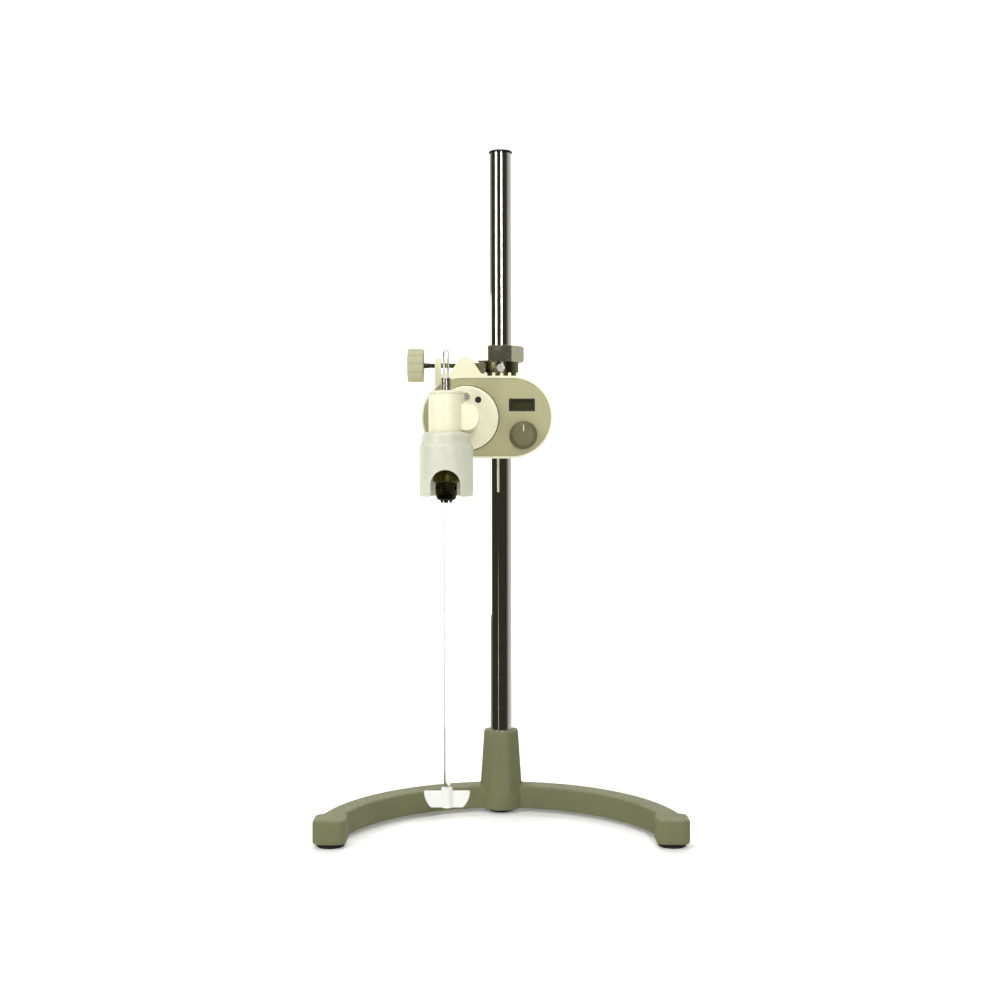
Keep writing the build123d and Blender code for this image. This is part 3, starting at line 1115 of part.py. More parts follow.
# --------------------------------------------------------------- chuck guard
def make_chuck_guard():
    collar_inner = barrel_radius + RUNNING_GAP
    neck = GUARD_NECK_DIAMETER / 2
    skirt = GUARD_DIAMETER / 2
    collar_low = GUARD_TOP_Z - GUARD_COLLAR_DEPTH
    profile = polygon(
        (collar_inner, GUARD_TOP_Z),
        (neck, GUARD_TOP_Z),
        (neck, GUARD_STEP_Z + GUARD_STEP_HEIGHT),
        (skirt, GUARD_STEP_Z),
        (skirt, GUARD_BOTTOM_Z),
        (skirt - GUARD_WALL, GUARD_BOTTOM_Z),
        (skirt - GUARD_WALL, GUARD_STEP_Z - GUARD_WALL / 2),
        (neck - GUARD_WALL, GUARD_STEP_Z + GUARD_STEP_HEIGHT - GUARD_WALL / 2),
        (neck - GUARD_WALL, GUARD_TOP_Z - GUARD_WALL),
        (collar_inner + GUARD_COLLAR_WALL, GUARD_TOP_Z - GUARD_WALL),
        (collar_inner + GUARD_COLLAR_WALL, collar_low),
        (collar_inner, collar_low),
    )
    shoulder = profile.vertices().sort_by_distance(Vector(neck, GUARD_TOP_Z))[0]
    profile = fillet(shoulder, GUARD_SHOULDER_RADIUS)
    guard = turned(profile, SPINDLE_X, SPINDLE_Y)
    ring_low = GUARD_TOP_Z - GUARD_COLLAR_DEPTH / 2 - GUARD_RING_HEIGHT / 2
    guard -= upright(collar_inner + GUARD_RING_SECTION + RUNNING_GAP, ring_low - SEAT_GAP,
                     ring_low + GUARD_RING_HEIGHT + SEAT_GAP, SPINDLE_X, SPINDLE_Y)
    half = GUARD_ARCH_WIDTH / 2
    spring_z = GUARD_ARCH_TOP_Z - half
    arch = Pos(SPINDLE_X, spring_z) * Circle(half)
    arch += Pos(SPINDLE_X, (GUARD_BOTTOM_Z - 1 + spring_z) / 2) * Rectangle(2 * half,
                                                                            spring_z - GUARD_BOTTOM_Z + 1)
    return guard - front_prism(arch, SPINDLE_Y - skirt - 1, SPINDLE_Y)


def make_guard_ring():
    low = GUARD_TOP_Z - GUARD_COLLAR_DEPTH / 2 - GUARD_RING_HEIGHT / 2
    inner = barrel_radius + RUNNING_GAP
    ring = upright(inner + GUARD_RING_SECTION, low, low + GUARD_RING_HEIGHT, SPINDLE_X, SPINDLE_Y)
    return ring - upright(inner, low - 1, low + GUARD_RING_HEIGHT + 1, SPINDLE_X, SPINDLE_Y)


# --------------------------------------------------------- rod and its blade
def make_stirring_rod():
    rod = upright(stir_rod_radius, BLADE_BOTTOM_Z + BLADE_HUB_FLOOR, STIR_ROD_TOP_Z, SPINDLE_X, SPINDLE_Y)
    return fillet(rod.edges().group_by(Axis.Z)[-1], STIR_ROD_END_RADIUS)


def make_stirrer_blade():
    """Half-moon paddle with a hub that grips the end of the rod."""
    outline = Pos(0, BLADE_BOTTOM_Z + BLADE_HEIGHT) * Circle(BLADE_WIDTH / 2)
    outline &= Pos(0, BLADE_BOTTOM_Z + BLADE_HEIGHT / 2) * Rectangle(BLADE_WIDTH, BLADE_HEIGHT)
    half = BLADE_THICKNESS / 2
    hub_top = BLADE_BOTTOM_Z + BLADE_HEIGHT + BLADE_HUB_RISE
    blade = Pos(SPINDLE_X, 0, 0) * front_prism(outline, SPINDLE_Y - half, SPINDLE_Y + half)
    blade += upright(BLADE_HUB_DIAMETER / 2, BLADE_BOTTOM_Z, hub_top, SPINDLE_X, SPINDLE_Y)
    return blade - upright(stir_rod_radius, BLADE_BOTTOM_Z + BLADE_HUB_FLOOR, hub_top + 1,
                           SPINDLE_X, SPINDLE_Y)


# --------------------------------------------------------------------- nodes
def build_nodes():
    left, right, rear = foot_places()
    nodes = {
        "base_casting": make_base_casting(),
        "foot_left": make_foot(*left),
        "foot_right": make_foot(*right),
        "foot_rear": make_foot(*rear),
        "post": make_post(),
        "post_cap": make_post_cap(),
        "post_set_screw": make_post_set_screw(),
        "clamp_collet": make_clamp_collet(),
        "boss_head": make_boss_head(),
        "clamp_nut": make_clamp_nut(),
        "support_rod": make_support_rod(),
        "rod_set_screw": make_rod_set_screw(),
        "swivel_lock_screw": make_swivel_lock_screw(),
        "rear_housing": make_rear_housing(),
        "housing_screws": make_housing_screws(),
        "front_panel": make_front_panel(),
        "chassis_plate": make_chassis_plate(),
        "circuit_board": make_circuit_board(),
        "display_module": make_display_module(),
        "display_glass": make_display_glass(),
        "speed_pot": make_speed_pot(),
        "pot_shaft": make_pot_shaft(),
        "speed_knob": make_speed_knob(),
        "switch_frame": make_switch_frame(),
        "power_rocker": make_power_rocker(),
        "cable_gland": make_cable_gland(),
        "top_bracket": make_top_bracket(),
        "bracket_screws": make_bracket_screws(),
        "thumb_screw": make_thumb_screw(),
        "thumb_knob": make_thumb_knob(),
        "gear_housing": make_gear_housing(),
        "hub_cover": make_hub_cover(),
        "barrel_cap": make_barrel_cap(),
        "flange_screw": make_flange_screw(),
        "flange_plug": make_flange_plug(),
        "spindle_bearing_lower": make_bearing(BARREL_BOTTOM_Z),
        "spindle_bearing_upper": make_bearing(barrel_shoulder_z - BEARING_WIDTH),
        "worm_bearing": make_worm_bearing(),
        "motor": make_motor(),
        "motor_shaft": make_motor_shaft(),
        "worm": make_worm(),
        "worm_wheel": make_worm_wheel(),
        "spindle_tube": make_spindle_tube(),
        "chuck_body": make_chuck_body(),
        "chuck_sleeve": make_chuck_sleeve(),
        "jaw_nut": make_jaw_nut(),
        "chuck_guard": make_chuck_guard(),
        "guard_ring": make_guard_ring(),
        "stirring_rod": make_stirring_rod(),
        "stirrer_blade": make_stirrer_blade(),
    }
    for index in range(JAW_COUNT):
        nodes[f"chuck_jaw_{index + 1}"] = make_jaw(index)
    return nodes


os.makedirs("parts", exist_ok=True)
for node_name, shape in build_nodes().items():
    solids = shape if isinstance(shape, list) else [shape]
    export_step(Compound(children=[solid for part in solids for solid in part.solids()]),
                f"parts/{node_name}.step")
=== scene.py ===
"""Overhead stirrer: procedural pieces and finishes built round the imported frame."""
from math import cos, pi, radians, sin

import bpy
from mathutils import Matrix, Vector


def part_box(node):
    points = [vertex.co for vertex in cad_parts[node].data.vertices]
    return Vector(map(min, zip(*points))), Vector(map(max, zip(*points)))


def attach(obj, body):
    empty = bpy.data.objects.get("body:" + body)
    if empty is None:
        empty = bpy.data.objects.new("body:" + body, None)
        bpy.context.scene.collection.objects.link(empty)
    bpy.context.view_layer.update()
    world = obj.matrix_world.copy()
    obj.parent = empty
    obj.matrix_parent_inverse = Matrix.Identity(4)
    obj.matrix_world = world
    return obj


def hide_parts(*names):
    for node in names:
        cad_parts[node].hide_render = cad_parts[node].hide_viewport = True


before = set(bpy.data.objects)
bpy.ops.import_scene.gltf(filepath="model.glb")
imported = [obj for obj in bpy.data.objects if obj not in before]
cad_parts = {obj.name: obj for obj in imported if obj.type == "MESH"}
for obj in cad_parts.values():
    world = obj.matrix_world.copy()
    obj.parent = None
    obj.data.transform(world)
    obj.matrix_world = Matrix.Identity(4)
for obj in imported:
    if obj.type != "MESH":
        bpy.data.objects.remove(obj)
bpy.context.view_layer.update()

bl_info = {
    "name": "Overhead Stirrer",
    "version": (1, 0, 0),
    "blender": (4, 5, 0),
    "location": "View3D > Sidebar > Stirrer",
    "description": "Builds the visible pieces and finishes of a laboratory overhead stirrer",
    "category": "Object",
}

MM = 0.001
AXES = "XYZ"
ORIGIN = (0, 0, 0)


# ------------------------------------------------------------------ places
def low(node):
    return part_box(node)[0]


def high(node):
    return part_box(node)[1]


def middle(node):
    return (low(node) + high(node)) / 2


def size(node):
    return high(node) - low(node)


# ------------------------------------------------------------------ settings
def length_property(name, description, default):
    return bpy.props.FloatProperty(
        name=name, description=description, default=default, unit="LENGTH", precision=5)


def colour_property(name, description, default):
    return bpy.props.FloatVectorProperty(
        name=name, description=description, default=default, subtype="COLOR_GAMMA", size=3, min=0, max=1)


class FinishSettings(bpy.types.PropertyGroup):
    """Colours of the painted, moulded and plated surfaces, as they look in even light."""
    casting: colour_property("Casting paint", "Grey-olive paint of the horseshoe stand", (0.47, 0.475, 0.35))
    ivory: colour_property("Ivory", "Shell, gear head and bracket", (0.945, 0.935, 0.82))
    khaki: colour_property("Panel", "Khaki-beige front panel", (0.70, 0.685, 0.53))
    knob: colour_property("Speed knob", "Grey-brown knob plastic", (0.44, 0.43, 0.31))
    thumb: colour_property("Thumb knob", "Beige-grey thumb knob plastic", (0.74, 0.735, 0.605))
    guard: colour_property("Guard", "Milky guard plastic", (0.87, 0.875, 0.80))
    nickel: colour_property("Nickel", "Satin nickel plate of the clamp", (0.80, 0.785, 0.69))
    chrome: colour_property("Chrome", "Bright chromium plate of the post", (0.90, 0.895, 0.88))
    chuck: colour_property("Chuck steel", "Dark oiled steel of the chuck", (0.25, 0.24, 0.17))


class EdgeSettings(bpy.types.PropertyGroup):
    """Widths of the softened edges."""
    casting: length_property("Casting edge", "Soft edge of the cast base", 2.6 * MM)
    moulded: length_property("Moulded edge", "Edge of the plastic shells", 0.6 * MM)
    machined: length_property("Machined edge", "Edge of turned and plated metal", 0.35 * MM)


class StageSettings(bpy.types.PropertyGroup):
    """Camera and light."""
    distance: length_property("Camera distance", "From the camera to the post, along the floor", 1.62)
    height: length_property("Camera height", "Above the table", 0.412)
    focal: bpy.props.FloatProperty(
        name="Focal length", description="Lens on a 36 mm sensor, in millimetres", default=49.98,
        min=20, max=200)
    pitch: bpy.props.FloatProperty(
        name="Pitch", description="How far the camera looks down", default=radians(1.708), subtype="ANGLE")
    roll: bpy.props.FloatProperty(
        name="Roll", description="Turn of the camera about its own axis", default=0.0012, subtype="ANGLE")


# ------------------------------------------------------------- mesh modelling
def deselect_all():
    active = bpy.context.view_layer.objects.active
    if active is not None and active.mode != "OBJECT":
        bpy.ops.object.mode_set(mode="OBJECT")
    bpy.ops.object.select_all(action="DESELECT")


def select_only(piece):
    deselect_all()
    piece.select_set(True)
    bpy.context.view_layer.objects.active = piece


def edit(piece):
    select_only(piece)
    bpy.ops.object.mode_set(mode="EDIT")
    bpy.ops.mesh.select_all(action="SELECT")


def leave_edit():
    bpy.ops.object.mode_set(mode="OBJECT")


def apply_place(piece):
    select_only(piece)
    bpy.ops.object.transform_apply(location=True, rotation=True, scale=True)


def aim(piece, axis):
    """Turns a piece modelled along Z so that it runs along another axis."""
    piece.rotation_euler = {
        "X": (0, pi / 2, 0),
        "Y": (-pi / 2, 0, 0),
        "-Y": (pi / 2, 0, 0),
        "Z": ORIGIN,
    }[axis]


def offsets(radius, height, *pairs):
    """Points of a profile, each so many millimetres out from a radius and up from a height."""
    return [(radius + out * MM, height + up * MM) for out, up in pairs]


def turned(name, profile, place, axis="Z", sides=96, hollow=False):
    """A lathe piece: a circle drawn out ring by ring through points of radius and height.

    A hollow piece closes on its first ring; a solid one starts and ends with a face.
    """
    deselect_all()
    radius, height = profile[0]
    fill = "NOTHING" if hollow else "NGON"
    bpy.ops.mesh.primitive_circle_add(vertices=sides, radius=radius, fill_type=fill, location=(0, 0, height))
    piece = bpy.context.active_object
    piece.name = name
    piece.data.name = name
    bpy.ops.object.transform_apply(location=True, rotation=True, scale=True)
    bpy.ops.object.mode_set(mode="EDIT")
    bpy.ops.mesh.select_mode(type="VERT")
    bpy.ops.mesh.select_all(action="SELECT")
    for next_radius, next_height in profile[1:]:
        bpy.ops.mesh.extrude_region_move(TRANSFORM_OT_translate={"value": (0, 0, next_height - height)})
        if abs(next_radius - radius) > 1e-9:
            ratio = next_radius / radius
            bpy.ops.transform.resize(value=(ratio, ratio, 1), center_override=(0, 0, next_height))
        radius, height = next_radius, next_height
    bpy.ops.mesh.select_all(action="SELECT")
    bpy.ops.mesh.remove_doubles(threshold=1e-6)
    bpy.ops.mesh.normals_make_consistent(inside=False)
    leave_edit()
    aim(piece, axis)
    piece.location = place
    apply_place(piece)
    return piece


def cylinder(name, radius, start, end, place, axis="Z", sides=64):
    """Plain round bar between two coordinates along its axis; place gives the other two."""
    middle_point = Vector(place)
    middle_point[AXES.index(axis)] = (start + end) / 2
    deselect_all()
    bpy.ops.mesh.primitive_cylinder_add(vertices=sides, radius=radius, depth=end - start, location=(0, 0, 0))
    piece = bpy.context.active_object
    piece.name = name
    aim(piece, axis)
    piece.location = middle_point
    apply_place(piece)
    return piece


def prism(name, sides, flats, bottom, top, turn):
    """Upright many-sided block on the post's axis, given by the width across its flats."""
    deselect_all()
    bpy.ops.mesh.primitive_cylinder_add(
        vertices=sides, radius=flats / 2 / cos(pi / sides), depth=top - bottom,
        location=(0, 0, (top + bottom) / 2))
    piece = bpy.context.active_object
    piece.name = name
    piece.rotation_euler = (0, 0, turn)
    apply_place(piece)
    return piece


def box(name, corner_a, corner_b):
    """Block between two opposite corners."""
    deselect_all()
    a, b = Vector(corner_a), Vector(corner_b)
    bpy.ops.mesh.primitive_cube_add(size=1, location=(a + b) / 2)
    piece = bpy.context.active_object
    piece.name = name
    piece.scale = [abs(v) for v in (b - a)]
    apply_place(piece)
    return piece


def cut(piece, cutter, operation="DIFFERENCE"):
    """Boolean with another piece, which is used up."""
    select_only(piece)
    boolean = piece.modifiers.new("cut", "BOOLEAN")
    boolean.operation = operation
    boolean.solver = "EXACT"
    boolean.object = cutter
    bpy.ops.object.modifier_apply(modifier=boolean.name)
    bpy.data.objects.remove(cutter)
    return piece


def join(piece, other):
    return cut(piece, other, "UNION")


def drill(piece, radius, start, end, place, axis="Z", sides=64):
    """Round hole between two coordinates along its axis."""
    return cut(piece, cylinder("drill", radius, start, end, place, axis, sides))


def gather(piece, other):
    """Puts another closed shape into the same mesh, for a skin to be run over both."""
    deselect_all()
    other.select_set(True)
    piece.select_set(True)
    bpy.context.view_layer.objects.active = piece
    bpy.ops.object.join()
    return piece


def soften(piece, width, segments=3, angle=28):
    """Rounds the sharp edges and smooths the shading."""
    select_only(piece)
    bevel = piece.modifiers.new("soft_edges", "BEVEL")
    bevel.width = width
    bevel.segments = segments
    bevel.limit_method = "ANGLE"
    bevel.angle_limit = radians(angle)
    bevel.harden_normals = False
    bevel.miter_outer = "MITER_ARC"
    bpy.ops.object.modifier_apply(modifier=bevel.name)
    smooth(piece)
    return piece


def smooth(piece, angle=32):
    select_only(piece)
    bpy.ops.object.shade_smooth_by_angle(angle=radians(angle))


def clean(piece, distance=2e-6):
    edit(piece)
    bpy.ops.mesh.remove_doubles(threshold=distance)
    bpy.ops.mesh.normals_make_consistent(inside=False)
    leave_edit()
    return piece


def select_faces(piece, test):
    """Leaves edit mode with only the faces selected whose centre and normal pass the test."""
    edit(piece)
    bpy.ops.mesh.select_mode(type="FACE")
    bpy.ops.mesh.select_all(action="DESELECT")
    leave_edit()
    for polygon in piece.data.polygons:
        polygon.select = test(polygon.center, polygon.normal)


def select_edges(piece, test):
    """Leaves edit mode with only the edges selected whose two ends pass the test."""
    edit(piece)
    bpy.ops.mesh.select_mode(type="EDGE")
    bpy.ops.mesh.select_all(action="DESELECT")
    leave_edit()
    points = piece.data.vertices
    for edge in piece.data.edges:
        edge.select = test(points[edge.vertices[0]].co, points[edge.vertices[1]].co)


def faces_up(centre, normal):
    return normal.z > 0.9


def faces_down(centre, normal):
    return normal.z < -0.9


def faces_front(centre, normal):
    return normal.y < -0.9


def push_faces(piece, test, shift, inset=0.0):
    """Extrudes the faces that pass the test, after an inset if one is given."""
    select_faces(piece, test)
    bpy.ops.object.mode_set(mode="EDIT")
    if inset:
        bpy.ops.mesh.inset(thickness=inset)
    bpy.ops.mesh.extrude_region_move(TRANSFORM_OT_translate={"value": shift})
    leave_edit()


def resize_faces(piece, test, ratios, centre):
    """Narrows or widens the faces that pass the test about a centre."""
    select_faces(piece, test)
    bpy.ops.object.mode_set(mode="EDIT")
    bpy.ops.transform.resize(value=ratios, center_override=centre)
    leave_edit()


def bevel_edges(piece, test, width, segments):
    """Rounds only the edges whose two ends pass the test."""
    select_edges(piece, test)
    select_only(piece)
    bpy.ops.object.mode_set(mode="EDIT")
    bpy.ops.mesh.select_mode(type="EDGE")
    bpy.ops.mesh.bevel(offset=width, segments=segments, affect="EDGES")
    leave_edit()


def stadium(name, corner_a, corner_b, sides=40):
    """Block along Y whose ends in X are full rounds."""
    piece = box(name, corner_a, corner_b)
    round_radius = abs(corner_b[2] - corner_a[2]) / 2
    bevel_edges(piece, lambda p, q: abs(p.x - q.x) < 1e-6 and abs(p.z - q.z) < 1e-6,
                round_radius * 0.999, sides)
    return clean(piece, 1.2e-4)


def around(count, start=0.0):
    return [start + 2 * pi * index / count for index in range(count)]


def settle_normals(piece):
    """Keeps flat faces flat beside their rounded edges."""
    select_only(piece)
    weighted = piece.modifiers.new("weighted", "WEIGHTED_NORMAL")
    weighted.keep_sharp = True
    bpy.ops.object.modifier_apply(modifier=weighted.name)


FINISHES = {}


def finish_piece(piece, body, finish, slot, *nodes):
    """Gives a piece its finish, its body and the nodes that it stands for; the slot is not used."""
    settle_normals(piece)
    piece.data.materials.clear()
    piece.data.materials.append(FINISHES[finish])
    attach(piece, body)
    if nodes:
        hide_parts(*nodes)
    return piece


def dress(node, finish):
    """A CAD node keeps its shape and takes a finish."""
    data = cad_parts[node].data
    data.materials.clear()
    data.materials.append(FINISHES[finish])


# ------------------------------------------------------------------ materials
def linear(colour):
    """Screen colour to scene-linear."""
    return tuple(c / 12.92 if c <= 0.04045 else ((c + 0.055) / 1.055) ** 2.4 for c in colour) + (1.0,)


def new_group(name, inputs, outputs):
    group = bpy.data.node_groups.new(name, "ShaderNodeTree")
    for socket_name, kind, default in inputs:
        socket = group.interface.new_socket(name=socket_name, in_out="INPUT", socket_type=kind)
        socket.default_value = default
    for socket_name, kind in outputs:
        group.interface.new_socket(name=socket_name, in_out="OUTPUT", socket_type=kind)
    return group, group.nodes.new("NodeGroupInput"), group.nodes.new("NodeGroupOutput")


def add_node(tree, kind, **settings):
    node = tree.nodes.new(kind)
    for name, value in settings.items():
        setattr(node, name, value)
    return node


def noise(tree, vector, scale, detail=4.0, roughness=0.55):
    node = add_node(tree, "ShaderNodeTexNoise", noise_dimensions="3D")
    node.inputs["Detail"].default_value = detail
    node.inputs["Roughness"].default_value = roughness
    if isinstance(scale, (int, float)):
        node.inputs["Scale"].default_value = scale
    else:
        tree.links.new(scale, node.inputs["Scale"])
    tree.links.new(vector, node.inputs["Vector"])
    return node.outputs["Fac"]


def map_range(tree, value, from_low, from_high, to_low=0.0, to_high=1.0):
    node = add_node(tree, "ShaderNodeMapRange", clamp=True)
    tree.links.new(value, node.inputs["Value"])
    limits = {"From Min": from_low, "From Max": from_high, "To Min": to_low, "To Max": to_high}
    for name, number in limits.items():
        if isinstance(number, (int, float)):
            node.inputs[name].default_value = number
        else:
            tree.links.new(number, node.inputs[name])
    return node.outputs["Result"]


def arithmetic(tree, operation, a, b):
    node = add_node(tree, "ShaderNodeMath", operation=operation)
    for index, value in enumerate((a, b)):
        if isinstance(value, (int, float)):
            node.inputs[index].default_value = value
        else:
            tree.links.new(value, node.inputs[index])
    return node.outputs[0]


def mix_colour(tree, factor, a, b, blend="MIX"):
    node = add_node(tree, "ShaderNodeMix", data_type="RGBA", blend_type=blend)
    for name, value in (("Factor", factor), ("A", a), ("B", b)):
        socket = [s for s in node.inputs if s.name == name and s.enabled][0]
        if isinstance(value, (int, float, tuple)):
            socket.default_value = value
        else:
            tree.links.new(value, socket)
    return [s for s in node.outputs if s.enabled][0]


def surface_tone_group():
    """Slow and fine drift of a paint or plastic colour, with a little dust on upward faces."""
    group, source, sink = new_group("surface_tone", [
        ("Colour", "NodeSocketColor", (0.8, 0.8, 0.8, 1)),
        ("Shade", "NodeSocketColor", (0.6, 0.6, 0.6, 1)),
        ("Dust", "NodeSocketColor", (0.8, 0.8, 0.75, 1)),
        ("Drift", "NodeSocketFloat", 0.3),
        ("Dust Amount", "NodeSocketFloat", 0.1),
        ("Scale", "NodeSocketFloat", 30.0),
    ], [("Colour", "NodeSocketColor"), ("Mask", "NodeSocketFloat")])
    place = add_node(group, "ShaderNodeTexCoord")
    slow = noise(group, place.outputs["Object"], source.outputs["Scale"], 3)
    slow_mask = map_range(group, slow, 0.35, 0.7)
    drift = arithmetic(group, "MULTIPLY", slow_mask, source.outputs["Drift"])
    toned = mix_colour(group, drift, source.outputs["Colour"], source.outputs["Shade"])
    geometry = add_node(group, "ShaderNodeNewGeometry")
    split = add_node(group, "ShaderNodeSeparateXYZ")
    group.links.new(geometry.outputs["Normal"], split.inputs[0])
    upward = map_range(group, split.outputs["Z"], 0.4, 1.0)
    fine = noise(group, place.outputs["Object"], 420.0, 5, 0.7)
    speck = map_range(group, fine, 0.42, 0.75)
    settled = arithmetic(group, "MULTIPLY", upward, speck)
    dust = arithmetic(group, "MULTIPLY", settled, source.outputs["Dust Amount"])
    group.links.new(mix_colour(group, dust, toned, source.outputs["Dust"]), sink.inputs["Colour"])
    group.links.new(slow_mask, sink.inputs["Mask"])
    return group


def edge_wear_group():
    """Mask that is white on rounded outer edges, broken up by noise."""
    group, source, sink = new_group("edge_wear", [
        ("Width", "NodeSocketFloat", 0.001),
        ("Amount", "NodeSocketFloat", 0.5),
        ("Scale", "NodeSocketFloat", 220.0),
    ], [("Mask", "NodeSocketFloat")])
    place = add_node(group, "ShaderNodeTexCoord")
    rounded = add_node(group, "ShaderNodeBevel", samples=4)
    group.links.new(source.outputs["Width"], rounded.inputs["Radius"])
    geometry = add_node(group, "ShaderNodeNewGeometry")
    dot = add_node(group, "ShaderNodeVectorMath", operation="DOT_PRODUCT")
    group.links.new(rounded.outputs["Normal"], dot.inputs[0])
    group.links.new(geometry.outputs["Normal"], dot.inputs[1])
    edge = map_range(group, dot.outputs["Value"], 0.998, 0.93)
    broken = noise(group, place.outputs["Object"], source.outputs["Scale"], 4, 0.65)
    mask = arithmetic(group, "MULTIPLY", edge, map_range(group, broken, 0.38, 0.62))
    group.links.new(arithmetic(group, "MULTIPLY", mask, source.outputs["Amount"]), sink.inputs["Mask"])
    return group


def surface_grain_group():
    """Height of a sprayed, moulded or cast surface: fine grain over a soft ripple."""
    group, source, sink = new_group("surface_grain", [
        ("Grain Scale", "NodeSocketFloat", 900.0),
        ("Ripple Scale", "NodeSocketFloat", 160.0),
        ("Ripple Share", "NodeSocketFloat", 0.5),
    ], [("Height", "NodeSocketFloat"), ("Fleck", "NodeSocketFloat")])
    place = add_node(group, "ShaderNodeTexCoord")
    grain = noise(group, place.outputs["Object"], source.outputs["Grain Scale"], 3, 0.6)
    ripple = noise(group, place.outputs["Object"], source.outputs["Ripple Scale"], 2, 0.5)
    spread = add_node(group, "ShaderNodeMix", data_type="FLOAT")
    group.links.new(source.outputs["Ripple Share"], spread.inputs[0])
    group.links.new(grain, spread.inputs[2])
    group.links.new(ripple, spread.inputs[3])
    group.links.new(spread.outputs[0], sink.inputs["Height"])
    group.links.new(grain, sink.inputs["Fleck"])
    return group


def machining_group():
    """Fine lines round or along a turned piece: noise stretched by a scale for each axis."""
    group, source, sink = new_group("machining_lines", [
        ("Stretch", "NodeSocketVector", (1, 1, 60)),
        ("Scale", "NodeSocketFloat", 90.0),
    ], [("Lines", "NodeSocketFloat"), ("Smudge", "NodeSocketFloat")])
    place = add_node(group, "ShaderNodeTexCoord")
    stretched = add_node(group, "ShaderNodeVectorMath", operation="MULTIPLY")
    group.links.new(place.outputs["Object"], stretched.inputs[0])
    group.links.new(source.outputs["Stretch"], stretched.inputs[1])
    lines = noise(group, stretched.outputs[0], source.outputs["Scale"], 3, 0.6)
    group.links.new(lines, sink.inputs["Lines"])
    smudge = noise(group, place.outputs["Object"], 45.0, 4, 0.6)
    group.links.new(map_range(group, smudge, 0.45, 0.7), sink.inputs["Smudge"])
    return group


GROUPS = {}


def use_group(tree, name, **values):
    node = add_node(tree, "ShaderNodeGroup")
    node.node_tree = GROUPS[name]
    for socket, value in values.items():
        node.inputs[socket.replace("_", " ")].default_value = value
    return node


def start_material(name):
    material = bpy.data.materials.new("stirrer_" + name)
    FINISHES[name] = material
    material.use_nodes = True
    shader = material.node_tree.nodes["Principled BSDF"]
    return material, material.node_tree, shader


def add_bump(tree, shader, height, strength, distance):
    bump = add_node(tree, "ShaderNodeBump")
    bump.inputs["Strength"].default_value = strength
    bump.inputs["Distance"].default_value = distance
    tree.links.new(height, bump.inputs["Height"])
    tree.links.new(bump.outputs["Normal"], shader.inputs["Normal"])


def coated(name, colour, shade, worn, roughness, grain, ripple, bump, wear, coat=0.0, drift=0.35, dust=0.12,
           ripple_share=0.5, wear_width=1.2 * MM, shine=0.5):
    """Paint or moulded plastic with colour drift, grain, worn edges and a varying gloss."""
    material, tree, shader = start_material(name)
    tone = use_group(tree, "surface_tone", Colour=linear(colour), Shade=linear(shade), Drift=drift,
                     Dust_Amount=dust, Dust=linear((0.80, 0.79, 0.72)))
    edges = use_group(tree, "edge_wear", Width=wear_width, Amount=wear)
    texture = use_group(tree, "surface_grain", Grain_Scale=grain, Ripple_Scale=ripple,
                        Ripple_Share=ripple_share)
    colour_out = mix_colour(tree, edges.outputs["Mask"], tone.outputs["Colour"], linear(worn))
    fleck = map_range(tree, texture.outputs["Fleck"], 0.3, 0.7, 0.965, 1.03)
    fleck_colour = add_node(tree, "ShaderNodeCombineColor")
    for channel in range(3):
        tree.links.new(fleck, fleck_colour.inputs[channel])
    flecked = mix_colour(tree, 1.0, colour_out, fleck_colour.outputs[0], "MULTIPLY")
    tree.links.new(flecked, shader.inputs["Base Color"])
    gloss = map_range(tree, tone.outputs["Mask"], 0.0, 1.0, roughness * 0.85, min(1.0, roughness * 1.2))
    tree.links.new(gloss, shader.inputs["Roughness"])
    shader.inputs["Specular IOR Level"].default_value = shine
    shader.inputs["Coat Weight"].default_value = coat
    shader.inputs["Coat Roughness"].default_value = 0.2
    add_bump(tree, shader, texture.outputs["Height"], bump, 0.25 * MM)
    return material


def plated(name, colour, dull, roughness, stretch=(1, 1, 60), scale=90.0, bump=0.03, smudge=0.12, wear=0.0):
    """Bare or plated metal with machining lines, smudges and a varying gloss."""
    material, tree, shader = start_material(name)
    shader.inputs["Metallic"].default_value = 1.0
    lines = use_group(tree, "machining_lines", Stretch=stretch, Scale=scale)
    darker = arithmetic(tree, "MULTIPLY", lines.outputs["Smudge"], smudge * 2)
    colour_out = mix_colour(tree, darker, linear(colour), linear(dull))
    if wear:
        edges = use_group(tree, "edge_wear", Width=0.6 * MM, Amount=wear)
        colour_out = mix_colour(tree, edges.outputs["Mask"], colour_out, linear((0.9, 0.88, 0.8)))
    tree.links.new(colour_out, shader.inputs["Base Color"])
    spread = map_range(tree, lines.outputs["Lines"], 0.25, 0.75, roughness * 0.7, roughness * 1.35)
    dulled = arithmetic(tree, "MULTIPLY", lines.outputs["Smudge"], smudge)
    tree.links.new(arithmetic(tree, "ADD", spread, dulled), shader.inputs["Roughness"])
    add_bump(tree, shader, lines.outputs["Lines"], bump, 0.05 * MM)
    return material


